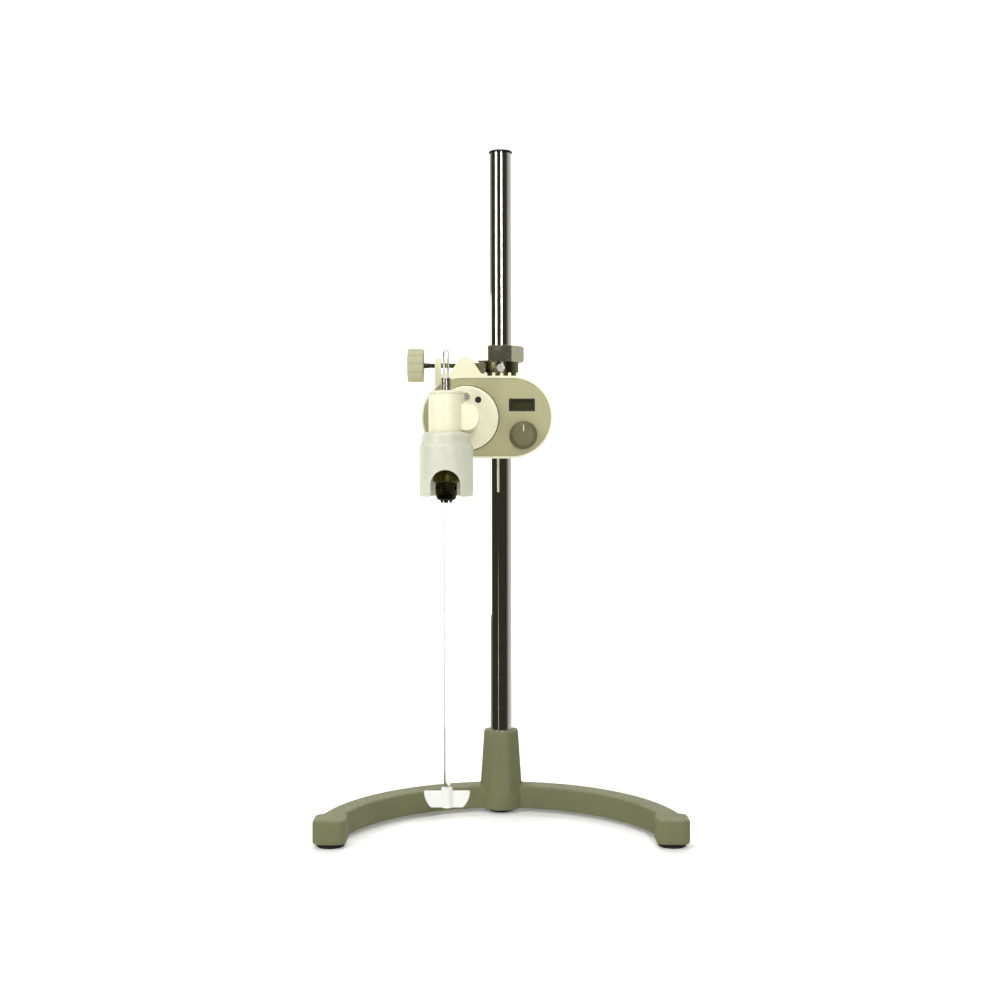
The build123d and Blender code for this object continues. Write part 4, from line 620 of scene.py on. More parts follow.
def milky_plastic(name, colour):
    """Translucent moulded plastic: light passes through its body and clouds."""
    material, tree, shader = start_material(name)
    tone = use_group(tree, "surface_tone", Colour=linear(colour), Shade=linear([c * 0.93 for c in colour]),
                     Drift=0.6, Dust_Amount=0.06, Scale=55.0)
    tree.links.new(tone.outputs["Colour"], shader.inputs["Base Color"])
    texture = use_group(tree, "surface_grain", Grain_Scale=700.0, Ripple_Scale=90.0, Ripple_Share=0.8)
    gloss = map_range(tree, texture.outputs["Fleck"], 0.3, 0.7, 0.3, 0.38)
    tree.links.new(gloss, shader.inputs["Roughness"])
    shader.inputs["Transmission Weight"].default_value = 0.06
    shader.inputs["Subsurface Weight"].default_value = 0.35
    shader.inputs["Subsurface Radius"].default_value = (1.0, 1.0, 0.8)
    shader.inputs["Subsurface Scale"].default_value = 4 * MM
    shader.inputs["IOR"].default_value = 1.49
    shader.inputs["Coat Weight"].default_value = 0.3
    add_bump(tree, shader, texture.outputs["Height"], 0.03, 0.3 * MM)
    return material


def clear_glass(name):
    """Clear glass with a slight tint and faint smudges."""
    material, tree, shader = start_material(name)
    shader.inputs["Transmission Weight"].default_value = 1.0
    shader.inputs["IOR"].default_value = 1.47
    lines = use_group(tree, "machining_lines", Stretch=(1, 1, 0.15), Scale=160.0)
    smudge = lines.outputs["Smudge"]
    tint = mix_colour(tree, smudge, linear((0.93, 0.945, 0.935)), linear((0.88, 0.90, 0.885)))
    tree.links.new(tint, shader.inputs["Base Color"])
    tree.links.new(map_range(tree, smudge, 0.0, 1.0, 0.01, 0.06), shader.inputs["Roughness"])
    return material


CELL_PITCH = 1.1 * MM


def display_material(name):
    """Unlit liquid-crystal pane: dark olive with a faint cell grid and a glossy cover."""
    material, tree, shader = start_material(name)
    place = add_node(tree, "ShaderNodeTexCoord")
    tone = use_group(tree, "surface_tone", Colour=linear((0.25, 0.255, 0.155)),
                     Shade=linear((0.19, 0.195, 0.115)), Drift=0.8, Dust_Amount=0.0, Scale=80.0)
    split = add_node(tree, "ShaderNodeSeparateXYZ")
    tree.links.new(place.outputs["Object"], split.inputs[0])
    cell = None
    for axis in ("X", "Z"):
        turns = arithmetic(tree, "MULTIPLY", split.outputs[axis], 2 * pi / CELL_PITCH)
        band = map_range(tree, arithmetic(tree, "SINE", turns, 0), 0.8, 1.0)
        cell = band if cell is None else arithmetic(tree, "MAXIMUM", cell, band)
    faint = arithmetic(tree, "MULTIPLY", cell, 0.25)
    pane = mix_colour(tree, faint, tone.outputs["Colour"], linear((0.13, 0.135, 0.09)))
    tree.links.new(pane, shader.inputs["Base Color"])
    tree.links.new(map_range(tree, tone.outputs["Mask"], 0, 1, 0.12, 0.2), shader.inputs["Roughness"])
    shader.inputs["Specular IOR Level"].default_value = 0.3
    shader.inputs["Coat Weight"].default_value = 0.2
    return material


def build_materials(finish):
    """Makes every finish, those of the main pieces from the user's colours."""
    GROUPS["surface_tone"] = surface_tone_group()
    GROUPS["edge_wear"] = edge_wear_group()
    GROUPS["surface_grain"] = surface_grain_group()
    GROUPS["machining_lines"] = machining_group()

    def dim(colour, share):
        return tuple(c * share for c in colour)

    casting, ivory, khaki = tuple(finish.casting), tuple(finish.ivory), tuple(finish.khaki)
    coated("cast_paint", casting, dim(casting, 0.88), (0.46, 0.455, 0.36), roughness=0.5, grain=620,
           ripple=120, bump=0.5, wear=0.35, shine=0.16, dust=0.3, ripple_share=0.55, wear_width=2 * MM)
    coated("ivory_shell", ivory, dim(ivory, 0.965), (0.97, 0.965, 0.93), roughness=0.33, grain=1500,
           ripple=220, bump=0.06, wear=0.2, coat=0.3, drift=0.3)
    coated("ivory_casting", ivory, dim(ivory, 0.96), (0.975, 0.97, 0.94), roughness=0.3, grain=1000,
           ripple=170, bump=0.1, wear=0.25, coat=0.35, drift=0.3)
    coated("khaki_panel", khaki, dim(khaki, 0.955), (0.72, 0.705, 0.55), roughness=0.5, grain=2200,
           ripple=260, bump=0.12, wear=0.25, drift=0.4, shine=0.25)
    coated("knob_grey", tuple(finish.knob), dim(finish.knob, 0.9), (0.45, 0.44, 0.34), roughness=0.5,
           grain=1600, ripple=260, bump=0.15, wear=0.4, shine=0.22)
    coated("thumb_beige", tuple(finish.thumb), dim(finish.thumb, 0.92), (0.74, 0.735, 0.63),
           roughness=0.5, grain=1500, ripple=240, bump=0.15, wear=0.35, shine=0.3)
    coated("black_plastic", (0.065, 0.065, 0.058), (0.045, 0.045, 0.04), (0.2, 0.2, 0.19), roughness=0.42,
           grain=1500, ripple=260, bump=0.12, wear=0.3)
    coated("foot_rubber", (0.13, 0.13, 0.12), (0.09, 0.09, 0.085), (0.24, 0.235, 0.22), roughness=0.75,
           grain=1200, ripple=200, bump=0.35, wear=0.4, dust=0.3)
    coated("board_green", (0.09, 0.30, 0.15), (0.07, 0.24, 0.12), (0.3, 0.45, 0.3), roughness=0.35,
           grain=1800, ripple=300, bump=0.05, wear=0.2)
    coated("blade_white", (0.94, 0.94, 0.925), (0.88, 0.88, 0.86), (0.97, 0.97, 0.96), roughness=0.45,
           grain=900, ripple=150, bump=0.1, wear=0.2)
    plated("post_chrome", tuple(finish.chrome), (0.72, 0.71, 0.68), roughness=0.045, stretch=(1, 1, 0.02),
           scale=260.0, bump=0.012, smudge=0.04)
    plated("nickel_plate", tuple(finish.nickel), (0.60, 0.58, 0.47), roughness=0.16, stretch=(1, 1, 14),
           scale=130.0, bump=0.04, smudge=0.05, wear=0.4)
    # darker copy of the nickel plate for the clamp body: its darker colour is painted shade, its higher
    # roughness a duller gloss
    plated("shaded_dull_nickel", (0.44, 0.43, 0.32), (0.32, 0.31, 0.22), roughness=0.24, stretch=(1, 1, 14),
           scale=130.0, bump=0.05, smudge=0.08, wear=0.5)
    plated("screw_steel", (0.72, 0.71, 0.68), (0.5, 0.49, 0.45), roughness=0.28, stretch=(1, 1, 1),
           scale=500.0, bump=0.08, smudge=0.15, wear=0.4)
    plated("spindle_steel", (0.76, 0.745, 0.69), (0.55, 0.53, 0.46), roughness=0.22, stretch=(1, 1, 40),
           scale=110.0, bump=0.06, smudge=0.12, wear=0.4)
    plated("worm_steel", (0.70, 0.69, 0.66), (0.5, 0.49, 0.45), roughness=0.25, stretch=(1, 40, 1),
           scale=110.0, bump=0.06, smudge=0.12, wear=0.3)
    plated("chuck_steel", tuple(finish.chuck), (0.15, 0.14, 0.10), roughness=0.24, stretch=(1, 1, 45),
           scale=120.0, bump=0.08, smudge=0.15, wear=0.7)
    coated("index_white", (0.93, 0.93, 0.9), (0.85, 0.85, 0.82), (0.95, 0.95, 0.93), roughness=0.45,
           grain=1500, ripple=240, bump=0.08, wear=0.2)
    plated("sleeve_brass", (0.42, 0.40, 0.20), (0.20, 0.19, 0.10), roughness=0.22, stretch=(1, 1, 45),
           scale=120.0, bump=0.08, smudge=0.15, wear=0.8)
    plated("thread_steel", (0.30, 0.285, 0.23), (0.2, 0.19, 0.15), roughness=0.35, stretch=(30, 1, 1),
           scale=120.0, bump=0.08, smudge=0.15, wear=0.5)
    plated("chassis_alloy", (0.26, 0.26, 0.20), (0.18, 0.18, 0.14), roughness=0.45, stretch=(1, 1, 1),
           scale=300.0, bump=0.08, smudge=0.1, wear=0.2)
    plated("motor_steel", (0.62, 0.61, 0.58), (0.45, 0.44, 0.41), roughness=0.35, stretch=(1, 30, 1),
           scale=110.0, bump=0.06, smudge=0.12, wear=0.3)
    plated("wheel_bronze", (0.80, 0.62, 0.36), (0.6, 0.45, 0.25), roughness=0.3, stretch=(1, 1, 30),
           scale=110.0, bump=0.08, smudge=0.15, wear=0.4)
    milky_plastic("guard_milky", tuple(finish.guard))
    clear_glass("rod_glass")
    display_material("display_lcd")


# ------------------------------------------------------------------ shared makers
def refined(node, name, body, finish, slot, width, segments=2, angle=35):
    """Copy of a node, merged and with its sharp edges rounded."""
    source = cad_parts[node]
    piece = bpy.data.objects.new(name, source.data.copy())
    bpy.context.scene.collection.objects.link(piece)
    edit(piece)
    bpy.ops.mesh.remove_doubles(threshold=2e-6)
    bpy.ops.mesh.dissolve_limited(angle_limit=radians(0.6))
    leave_edit()
    if piece.data.has_custom_normals:
        select_only(piece)
        bpy.ops.mesh.customdata_custom_splitnormals_clear()
    soften(piece, width, segments, angle)
    return finish_piece(piece, body, finish, slot, node)


def cast_blend(piece, voxel, rounds):
    """Runs a soft skin over united shapes, as a casting has, so their joints turn into fillets."""
    select_only(piece)
    remesh = piece.modifiers.new("skin", "REMESH")
    remesh.mode = "VOXEL"
    remesh.voxel_size = voxel
    bpy.ops.object.modifier_apply(modifier=remesh.name)
    relax = piece.modifiers.new("relax", "SMOOTH")
    relax.factor = 0.5
    relax.iterations = rounds
    bpy.ops.object.modifier_apply(modifier=relax.name)
    select_only(piece)
    bpy.ops.object.shade_smooth()
    return piece


# ------------------------------------------------------------------ stand
ARM_HEIGHT = 26.0 * MM
ARM_OUTER_RADIUS = 197.5 * MM
ARM_INNER_RADIUS = 176.0 * MM
ARM_BACK_Y = 15.5 * MM
ARM_FRONT_Y = -12.5 * MM
PAD_SIZE = 36.0 * MM
PAD_CORNER = 9.0 * MM
BOSS_RADIUS = 26.0 * MM
BOSS_LEDGE_Z = 23.5 * MM
BOSS_FOOT_FLATS = 49.0 * MM
BOSS_TOP_FLATS = 39.5 * MM
BOSS_CORNER = 3.0 * MM
BOSS_EDGE = 1.8 * MM
BOSS_ROOT = 5.0 * MM            # depth that the boss runs down into the arms
CAST_SKIN = 1.35 * MM
SET_SCREW_HOLE = 4.1 * MM
POST_RADIUS = 12.5 * MM
POST_WALL = 2.5 * MM
POST_CHAMFER = 0.4 * MM
CAP_STEM_RADIUS = 9.8 * MM
CAP_STEM_LENGTH = 14 * MM
FOOT_RINGS = ((3, 0.9), (7, 0.9), (7.4, 0), (9.4, 0), (9.8, 0.9), (11.2, 0.9), (11.6, 0), (14.1, 0),
              (14.8, 0.5), (15, 1.2), (14.4, 2.2))


def boss_taper():
    """Eight-sided tapered boss with softened corners and a root inside the arms."""
    top = high("base_casting").z
    taper = prism("taper", 8, BOSS_FOOT_FLATS, BOSS_LEDGE_Z, top, pi / 8)
    ratio = BOSS_TOP_FLATS / BOSS_FOOT_FLATS
    resize_faces(taper, faces_up, (ratio, ratio, 1), (0, 0, top))
    bevel_edges(taper, lambda p, q: abs(p.z - q.z) > (top - BOSS_LEDGE_Z) / 2, BOSS_CORNER, 6)
    bevel_edges(taper, lambda p, q: min(p.z, q.z) > top - 0.1 * MM, BOSS_EDGE, 4)
    push_faces(taper, faces_down, (0, 0, -BOSS_ROOT))
    return clean(taper)


class BaseOperator(bpy.types.Operator):
    """Make the cast horseshoe base with its tapered boss, and the rubber feet under it"""
    bl_idname = "stirrer.base"
    bl_label = "Base"

    def execute(self, context):
        width = context.scene.stirrer_edges.casting
        bottom = low("base_casting").z
        top = bottom + ARM_HEIGHT
        base = self.make_arms(bottom, top)
        soften(base, width, 4, 50)
        for foot in ("foot_left", "foot_right"):
            pad = self.make_pad(middle(foot), bottom, top)
            soften(pad, width, 4, 50)
            gather(base, pad)
        lower = cylinder("boss_foot", BOSS_RADIUS, bottom, BOSS_LEDGE_Z, ORIGIN, sides=128)
        soften(lower, BOSS_EDGE, 4, 50)
        gather(base, lower)
        gather(base, boss_taper())
        cast_blend(base, CAST_SKIN, 4)
        drill(base, POST_RADIUS + 0.05 * MM, low("post").z, 0.2, ORIGIN, sides=128)
        screw = middle("post_set_screw")
        drill(base, SET_SCREW_HOLE, POST_RADIUS, 0.1, (0, 0, screw.z), "Y", 48)
        smooth(base, 40)
        finish_piece(base, "stand", "cast_paint", "cast_paint", "base_casting")
        for foot in ("foot_left", "foot_right", "foot_rear"):
            self.make_foot(foot, bottom)
        return {"FINISHED"}

    def make_arms(self, bottom, top):
        """Two arms left of a ring, which is wider at the back than at its open front."""
        outer_y = ARM_BACK_Y - ARM_OUTER_RADIUS
        inner_y = ARM_FRONT_Y - ARM_INNER_RADIUS
        arms = cylinder("base", ARM_OUTER_RADIUS, bottom, top, (0, outer_y, 0), sides=256)
        drill(arms, ARM_INNER_RADIUS, bottom - MM, top + MM, (0, inner_y, 0), sides=256)
        cut(arms, box("front", (-0.3, -0.5, -0.1), (0.3, middle("foot_left").y, 0.1)))
        return arms

    def make_pad(self, centre, bottom, top):
        """Square end of an arm over its foot, with round corners."""
        half = PAD_SIZE / 2
        pad = box("pad", (centre.x - half, centre.y - half, bottom), (centre.x + half, centre.y + half, top))
        bevel_edges(pad, lambda p, q: abs(p.z - q.z) > half, PAD_CORNER, 10)
        return pad

    def make_foot(self, node, top):
        """Round rubber foot with a flared lip and two grooves in its sole."""
        centre = middle(node)
        profile = offsets(0, 0, *FOOT_RINGS, (14.4, top / MM), (3, top / MM))
        foot = turned(node + "_rubber", profile, (centre.x, centre.y, 0), sides=96)
        smooth(foot, 40)
        finish_piece(foot, "stand", "foot_rubber", "foot_rubber", node)


class PostOperator(bpy.types.Operator):
    """Make the chromed post and its black cap"""
    bl_idname = "stirrer.post"
    bl_label = "Post"

    def execute(self, context):
        bottom, top = low("post").z, high("post").z
        bore = POST_RADIUS - POST_WALL
        shoulder = POST_RADIUS - POST_CHAMFER
        tube = turned("post_tube", [
            (POST_RADIUS, bottom + POST_CHAMFER), (POST_RADIUS, top - POST_CHAMFER), (shoulder, top),
            (bore, top), (bore, bottom), (shoulder, bottom), (POST_RADIUS, bottom + POST_CHAMFER),
        ], ORIGIN, sides=160, hollow=True)
        smooth(tube)
        finish_piece(tube, "stand", "post_chrome", "post_chrome", "post")
        radius = size("post_cap").x / 2
        cap_top = high("post_cap").z
        profile = [(CAP_STEM_RADIUS, top - CAP_STEM_LENGTH), (CAP_STEM_RADIUS, top)]
        profile += offsets(radius, top, (-0.5, 0), (0, 0.5))
        profile += offsets(radius, cap_top, (0, -1.3), (-0.35, -0.6), (-1.1, -0.15), (-2.2, 0))
        cap = turned("post_end_cap", profile + [(MM, cap_top)], ORIGIN, sides=128)
        smooth(cap, 40)
        finish_piece(cap, "stand", "black_plastic", "black_plastic", "post_cap")
        return {"FINISHED"}


# ------------------------------------------------------------------ clamp
NUT_FLATS = 47.0 * MM
NUT_CROWN = 1.4 * MM            # height that the nut's crown adds to its node
NUT_TURN = pi / 6 - radians(2.5)
NUT_CORNER_ROUND = 2.6 * MM
NUT_NECK_RADIUS = 20.2 * MM


class ClampOperator(bpy.types.Operator):
    """Make the nickel-plated clamp: its hexagon nut, its body with the rod sleeve, and the collet"""
    bl_idname = "stirrer.clamp"
    bl_label = "Clamp"

    def execute(self, context):
        width = context.scene.stirrer_edges.machined
        self.make_nut(width)
        # the clamp body takes the darker copy of the nickel plate, whose darker colour is painted shade
        refined("boss_head", "clamp_body", "boss_head", "shaded_dull_nickel", "nickel_plate", width)
        refined("clamp_collet", "split_collet", "clamp_collet", "nickel_plate", "nickel_plate", 0.25 * MM)
        refined("swivel_lock_screw", "swivel_screw", "boss_head", "screw_steel", "screw_steel", 0.3 * MM)
        return {"FINISHED"}

    def make_nut(self, width):
        """Hexagon with domed ends and a stepped bore that is countersunk at its top."""
        bottom, top = low("clamp_nut").z, high("clamp_nut").z + NUT_CROWN
        nut = prism("hexagon_nut", 6, NUT_FLATS, bottom, top, NUT_TURN)
        corner = NUT_FLATS / 2 / cos(pi / 6)
        inner = corner - NUT_CORNER_ROUND
        profile = offsets(inner, bottom, (0, -0.1)) + offsets(corner, bottom, (1, 1.9))
        profile += offsets(corner, top, (1, -1.9)) + offsets(inner, top, (0, 0.1))
        cut(nut, turned("dome", profile, ORIGIN, sides=150), "INTERSECT")
        clean(nut, 2e-5)
        bore = POST_RADIUS + 0.45 * MM
        profile = [(NUT_NECK_RADIUS, bottom - MM), (NUT_NECK_RADIUS, top - 5.4 * MM)]
        profile += offsets(bore, top, (0, -5.4), (0, -1.2), (1.55, 0.35), (1.55, 1))
        cut(nut, turned("bore", profile, ORIGIN, sides=128))
        clean(nut, 2e-5)
        soften(nut, width, 3, 24)
        finish_piece(nut, "clamp_nut", "nickel_plate", "nickel_plate", "clamp_nut")


# ------------------------------------------------------------------ drive housing
HOUSING_WALL = 2.5 * MM
HOUSING_BACK_ROUND = 7 * MM
VENT_SLOTS = 5
VENT_PITCH = 9.0 * MM
VENT_WIDTH = 4.5 * MM
VENT_DEPTH = 6 * MM
VENT_END = 2 * MM               # length by which a fin outreaches its slots at each end
VENT_X = -3.4 * MM
VENT_FRONT_Y = -50.0 * MM
VENT_BACK_Y = -34.0 * MM
BACK_SCREW_SPREAD = 27.3 * MM
BACK_SCREW_HEAD = 3.8 * MM
COUNTERBORE_RADIUS = 4.2 * MM
SWITCH_HOLE_X = 7.1 * MM
SWITCH_HOLE_Z = 10.6 * MM


class HousingOperator(bpy.types.Operator):
    """Make the drive's shell with its cooling fins, and the screws and fittings in its back"""
    bl_idname = "stirrer.housing"
    bl_label = "Drive Housing"

    def execute(self, context):
        lowest, highest = low("rear_housing"), high("rear_housing")
        side = HOUSING_WALL + 0.25 * MM
        bottom, top = low("front_panel").z - side, high("front_panel").z + side
        front, back = lowest.y, highest.y
        shell = stadium("drive_shell", (lowest.x, front, bottom), (highest.x, back, top), 32)
        bevel_edges(shell, lambda p, q: min(p.y, q.y) > back - 0.1 * MM, HOUSING_BACK_ROUND, 10)
        push_faces(shell, faces_front, (0, back - front - HOUSING_WALL, 0), inset=HOUSING_WALL)
        for index in range(VENT_SLOTS):
            x = VENT_X + (index - (VENT_SLOTS - 1) / 2) * VENT_PITCH
            cut(shell, box("slot", (x - VENT_WIDTH / 2, VENT_FRONT_Y + VENT_END, top - VENT_DEPTH),
                           (x + VENT_WIDTH / 2, VENT_BACK_Y - VENT_END, top + MM)))
        self.open_back(shell, back)
        soften(shell, context.scene.stirrer_edges.moulded, 3, 40)
        finish_piece(shell, "head", "ivory_shell", "ivory_shell", "rear_housing")
        for index in range(VENT_SLOTS + 1):
            self.make_fin(index, top)
        refined("housing_screws", "back_screws", "head", "screw_steel", "screw_steel", 0.2 * MM)
        refined("switch_frame", "switch_bezel", "head", "black_plastic", "black_plastic", 0.4 * MM)
        refined("power_rocker", "rocker_key", "power_rocker", "black_plastic", "black_plastic", 0.4 * MM)
        refined("cable_gland", "cord_gland", "head", "black_plastic", "black_plastic", 0.35 * MM)
        return {"FINISHED"}

    def open_back(self, shell, back):
        """Counterbores for the four screws, and the hole for the switch."""
        centre = middle("rear_housing").x
        for x in (centre - BACK_SCREW_SPREAD, centre + BACK_SCREW_SPREAD):
            for z in (low("housing_screws").z + BACK_SCREW_HEAD, high("housing_screws").z - BACK_SCREW_HEAD):
                drill(shell, COUNTERBORE_RADIUS, back - 3 * MM, back + MM, (x, 0, z), "Y", 40)
        switch = middle("switch_frame")
        cut(shell, box("switch_hole", (switch.x - SWITCH_HOLE_X, back - 8 * MM, switch.z - SWITCH_HOLE_Z),
                       (switch.x + SWITCH_HOLE_X, back + MM, switch.z + SWITCH_HOLE_Z)))

    def make_fin(self, index, housing_top):
        """Cooling fin that narrows upwards to a round crest."""
        x = VENT_X + (index - VENT_SLOTS / 2) * VENT_PITCH
        half = (VENT_PITCH - VENT_WIDTH) / 2
        top = high("rear_housing").z
        fin = box("cooling_fin_%d" % (index + 1), (x - half, VENT_FRONT_Y, housing_top - 2 * MM),
                  (x + half, VENT_BACK_Y, top))
        resize_faces(fin, faces_up, (0.72, 0.97, 1), (x, (VENT_FRONT_Y + VENT_BACK_Y) / 2, top))
        soften(fin, 0.9 * MM, 4, 50)
        finish_piece(fin, "head", "ivory_shell", "ivory_shell")


# ------------------------------------------------------------------ front panel
DISC_HOLE_RADIUS = 36.3 * MM
WINDOW_X = 14.5 * MM
WINDOW_Z = 7.1 * MM
FRAME_GAP = 0.1 * MM
FRAME_RIM = 2.2 * MM
SHAFT_HOLE_RADIUS = 3.4 * MM
KNOB_SKIRT_RADIUS = 15.5 * MM
KNOB_CAP_RADIUS = 12 * MM
KNOB_FLUTE_RADIUS = 1.25 * MM
KNOB_FLUTES = 16


class PanelOperator(bpy.types.Operator):
    """Make the front panel with its display window and the speed knob"""
    bl_idname = "stirrer.panel"
    bl_label = "Front Panel"

    def execute(self, context):
        lowest, highest = low("front_panel"), high("front_panel")
        front, back = lowest.y - MM, highest.y + MM
        panel = stadium("control_panel", lowest, highest, 32)
        gear, display, knob = middle("motor_shaft"), middle("display_glass"), middle("speed_knob")
        drill(panel, DISC_HOLE_RADIUS, front, back, (gear.x, 0, gear.z), "Y", 144)
        window = box("window", (display.x - WINDOW_X, front, display.z - WINDOW_Z),
                     (display.x + WINDOW_X, back, display.z + WINDOW_Z))
        bevel_edges(window, lambda p, q: abs(p.y - q.y) > MM, 0.9 * MM, 5)
        cut(panel, window)
        drill(panel, SHAFT_HOLE_RADIUS, front, back, (knob.x, 0, knob.z), "Y", 40)
        soften(panel, 0.35 * MM, 3, 40)
        finish_piece(panel, "head", "khaki_panel", "khaki_panel", "front_panel")
        self.make_window_frame(display, lowest.y)
        self.make_knob(knob)
        return {"FINISHED"}

    def make_window_frame(self, display, face):
        """Thin black frame set in the window round the display."""
        x, z = WINDOW_X - FRAME_GAP, WINDOW_Z - FRAME_GAP
        surround = box("window_frame", (display.x - x, face + 0.25 * MM, display.z - z),
                       (display.x + x, face + 2.9 * MM, display.z + z))
        bevel_edges(surround, lambda p, q: abs(p.y - q.y) > MM, 0.8 * MM, 4)
        cut(surround, box("opening", (display.x - x + FRAME_RIM, face - MM, display.z - z + FRAME_RIM),
                          (display.x + x - FRAME_RIM, face + 4 * MM, display.z + z - FRAME_RIM)))
        soften(surround, 0.25 * MM, 2, 40)
        finish_piece(surround, "head", "black_plastic", "black_plastic")

    def make_knob(self, centre):
        """Skirted knob with a fluted cap and a white index line."""
        front, back = low("speed_knob").y, high("speed_knob").y
        height = back - front
        cap = KNOB_CAP_RADIUS
        profile = offsets(KNOB_SKIRT_RADIUS, 0, (-0.4, 0), (0, 0.4), (0, 1.3), (-0.5, 1.9))
        profile += offsets(cap, 0, (1.3, 3.5), (0.5, 4.3))
        profile += offsets(cap, height, (0, -1.4), (-0.4, -0.5), (-1.3, 0), (-2.6, 0), (-3.2, -0.35))
        profile += [(MM, height - 0.35 * MM)]
        knob = turned("speed_dial", profile, (centre.x, back, centre.z), "-Y", 144)
        reach = cap + MM
        for angle in around(KNOB_FLUTES):
            place = (centre.x + reach * cos(angle), 0, centre.z + reach * sin(angle))
            drill(knob, KNOB_FLUTE_RADIUS, front - MM, back - 4.4 * MM, place, "Y", 20)
        cut(knob, box("mark_slot", (centre.x - 0.55 * MM, front - MM, centre.z + 4 * MM),
                      (centre.x + 0.55 * MM, front + 0.8 * MM, centre.z + cap + MM)))
        smooth(knob, 30)
        finish_piece(knob, "speed_knob", "knob_grey", "knob_grey", "speed_knob")
        line = box("index_line", (centre.x - 0.5 * MM, front + 0.25 * MM, centre.z + 4.1 * MM),
                   (centre.x + 0.5 * MM, front + 0.9 * MM, centre.z + cap - 0.5 * MM))
        soften(line, 0.15 * MM, 2)
        finish_piece(line, "speed_knob", "index_white", "knob_grey")


# ------------------------------------------------------------------ bracket
THREAD_CREST = 3.0 * MM
THREAD_ROOT = 2.45 * MM
THREAD_PITCH = 1.0 * MM
THREAD_PLAIN = 16 * MM
THUMB_RADIUS = 19 * MM
THUMB_FLUTE_RADIUS = 3.2 * MM
THUMB_FLUTES = 12


class BracketOperator(bpy.types.Operator):
    """Make the bracket on the housing, the threaded thumb screw and its fluted knob"""
    bl_idname = "stirrer.bracket"
    bl_label = "Bracket"

    def execute(self, context):
        refined("top_bracket", "rod_bracket", "head", "ivory_casting", "ivory_casting", 0.8 * MM, 3)
        self.make_thread()
        self.make_knob()
        refined("support_rod", "cross_rod", "boss_head", "nickel_plate", "nickel_plate", 0.2 * MM)
        return {"FINISHED"}

    def make_thread(self):
        """Screw along X with a plain neck and a row of thread rings."""
        centre = middle("thumb_screw")
        length = size("thumb_screw").x
        profile = offsets(THREAD_CREST, 0, (-0.3, 0), (0, 0.3)) + [(THREAD_CREST, THREAD_PLAIN)]
        place = THREAD_PLAIN
        while place + THREAD_PITCH < length - 0.8 * MM:
            for radius, share in ((THREAD_ROOT, 0.42), (THREAD_ROOT, 0.55), (THREAD_CREST, 0.92)):
                profile.append((radius, place + share * THREAD_PITCH))
            place += THREAD_PITCH
            profile.append((THREAD_CREST, place))
        profile.append((THREAD_CREST - 0.9 * MM, length))
        screw = turned("thumb_thread", profile, (low("thumb_screw").x, centre.y, centre.z), "X", 48)
        smooth(screw, 40)
        finish_piece(screw, "thumb_screw", "thread_steel", "screw_steel", "thumb_screw")

    def make_knob(self):
        """Fluted disc with a sunk field on its outer face and a raised hub."""
        lowest, highest = low("thumb_knob"), high("thumb_knob")
        centre = middle("thumb_knob")
        width = highest.x - lowest.x
        profile = offsets(0, 0, (5, 0.8))
        profile += offsets(THUMB_RADIUS, 0, (-5, 0.8), (-4.2, 0), (-1.6, 0), (-0.4, 0.5), (0, 1.7))
        profile += offsets(THUMB_RADIUS, width, (0, -1.7), (-0.4, -0.5), (-1.6, 0))
        profile += offsets(0, width, (10, 0), (9, -1), (7, -1), (6.4, 0), (2, 0))
        knob = turned("thumb_grip", profile, (lowest.x, centre.y, centre.z), "X", 192)
        reach = THUMB_RADIUS + 2.0 * MM
        for angle in around(THUMB_FLUTES):
            place = (0, centre.y + reach * cos(angle), centre.z + reach * sin(angle))
            drill(knob, THUMB_FLUTE_RADIUS, lowest.x - MM, highest.x + MM, place, "X", 32)
        soften(knob, 0.5 * MM, 3, 35)
        finish_piece(knob, "thumb_screw", "thumb_beige", "thumb_beige", "thumb_knob")


# ------------------------------------------------------------------ gear head
DISC_RADIUS = 35.5 * MM
DISC_FACE_Y = -89 * MM
HUB_RADIUS = 14.4 * MM
HUB_FRONT_Y = -128 * MM
HUB_PEAK_RADIUS = 6 * MM
HUB_PEAK_Z = 465.5 * MM
BARREL_RADIUS = 19 * MM
LID_BORE = 5.9 * MM
SPINDLE_HOLE = 7.5 * MM
BEARING_SEAT = 12.1 * MM
WEB_HALF_Y = 4 * MM
WEB_HALF_Z = 14 * MM


def hub_shape(name, front, back):
    """Drop-shaped block: the convex hull of the worm's barrel and a small round above it."""
    gear = middle("motor_shaft")
    hub = cylinder(name, HUB_RADIUS, front, back, (gear.x, 0, gear.z), "Y", 96)
    peak = cylinder("peak", HUB_PEAK_RADIUS, front, back, (gear.x, 0, HUB_PEAK_Z), "Y", 64)
    edit(gather(hub, peak))
    bpy.ops.mesh.convex_hull()
    bpy.ops.mesh.remove_doubles(threshold=1e-6)
    bpy.ops.mesh.dissolve_limited(angle_limit=radians(0.5))
    bpy.ops.mesh.normals_make_consistent(inside=False)
    leave_edit()
    return hub


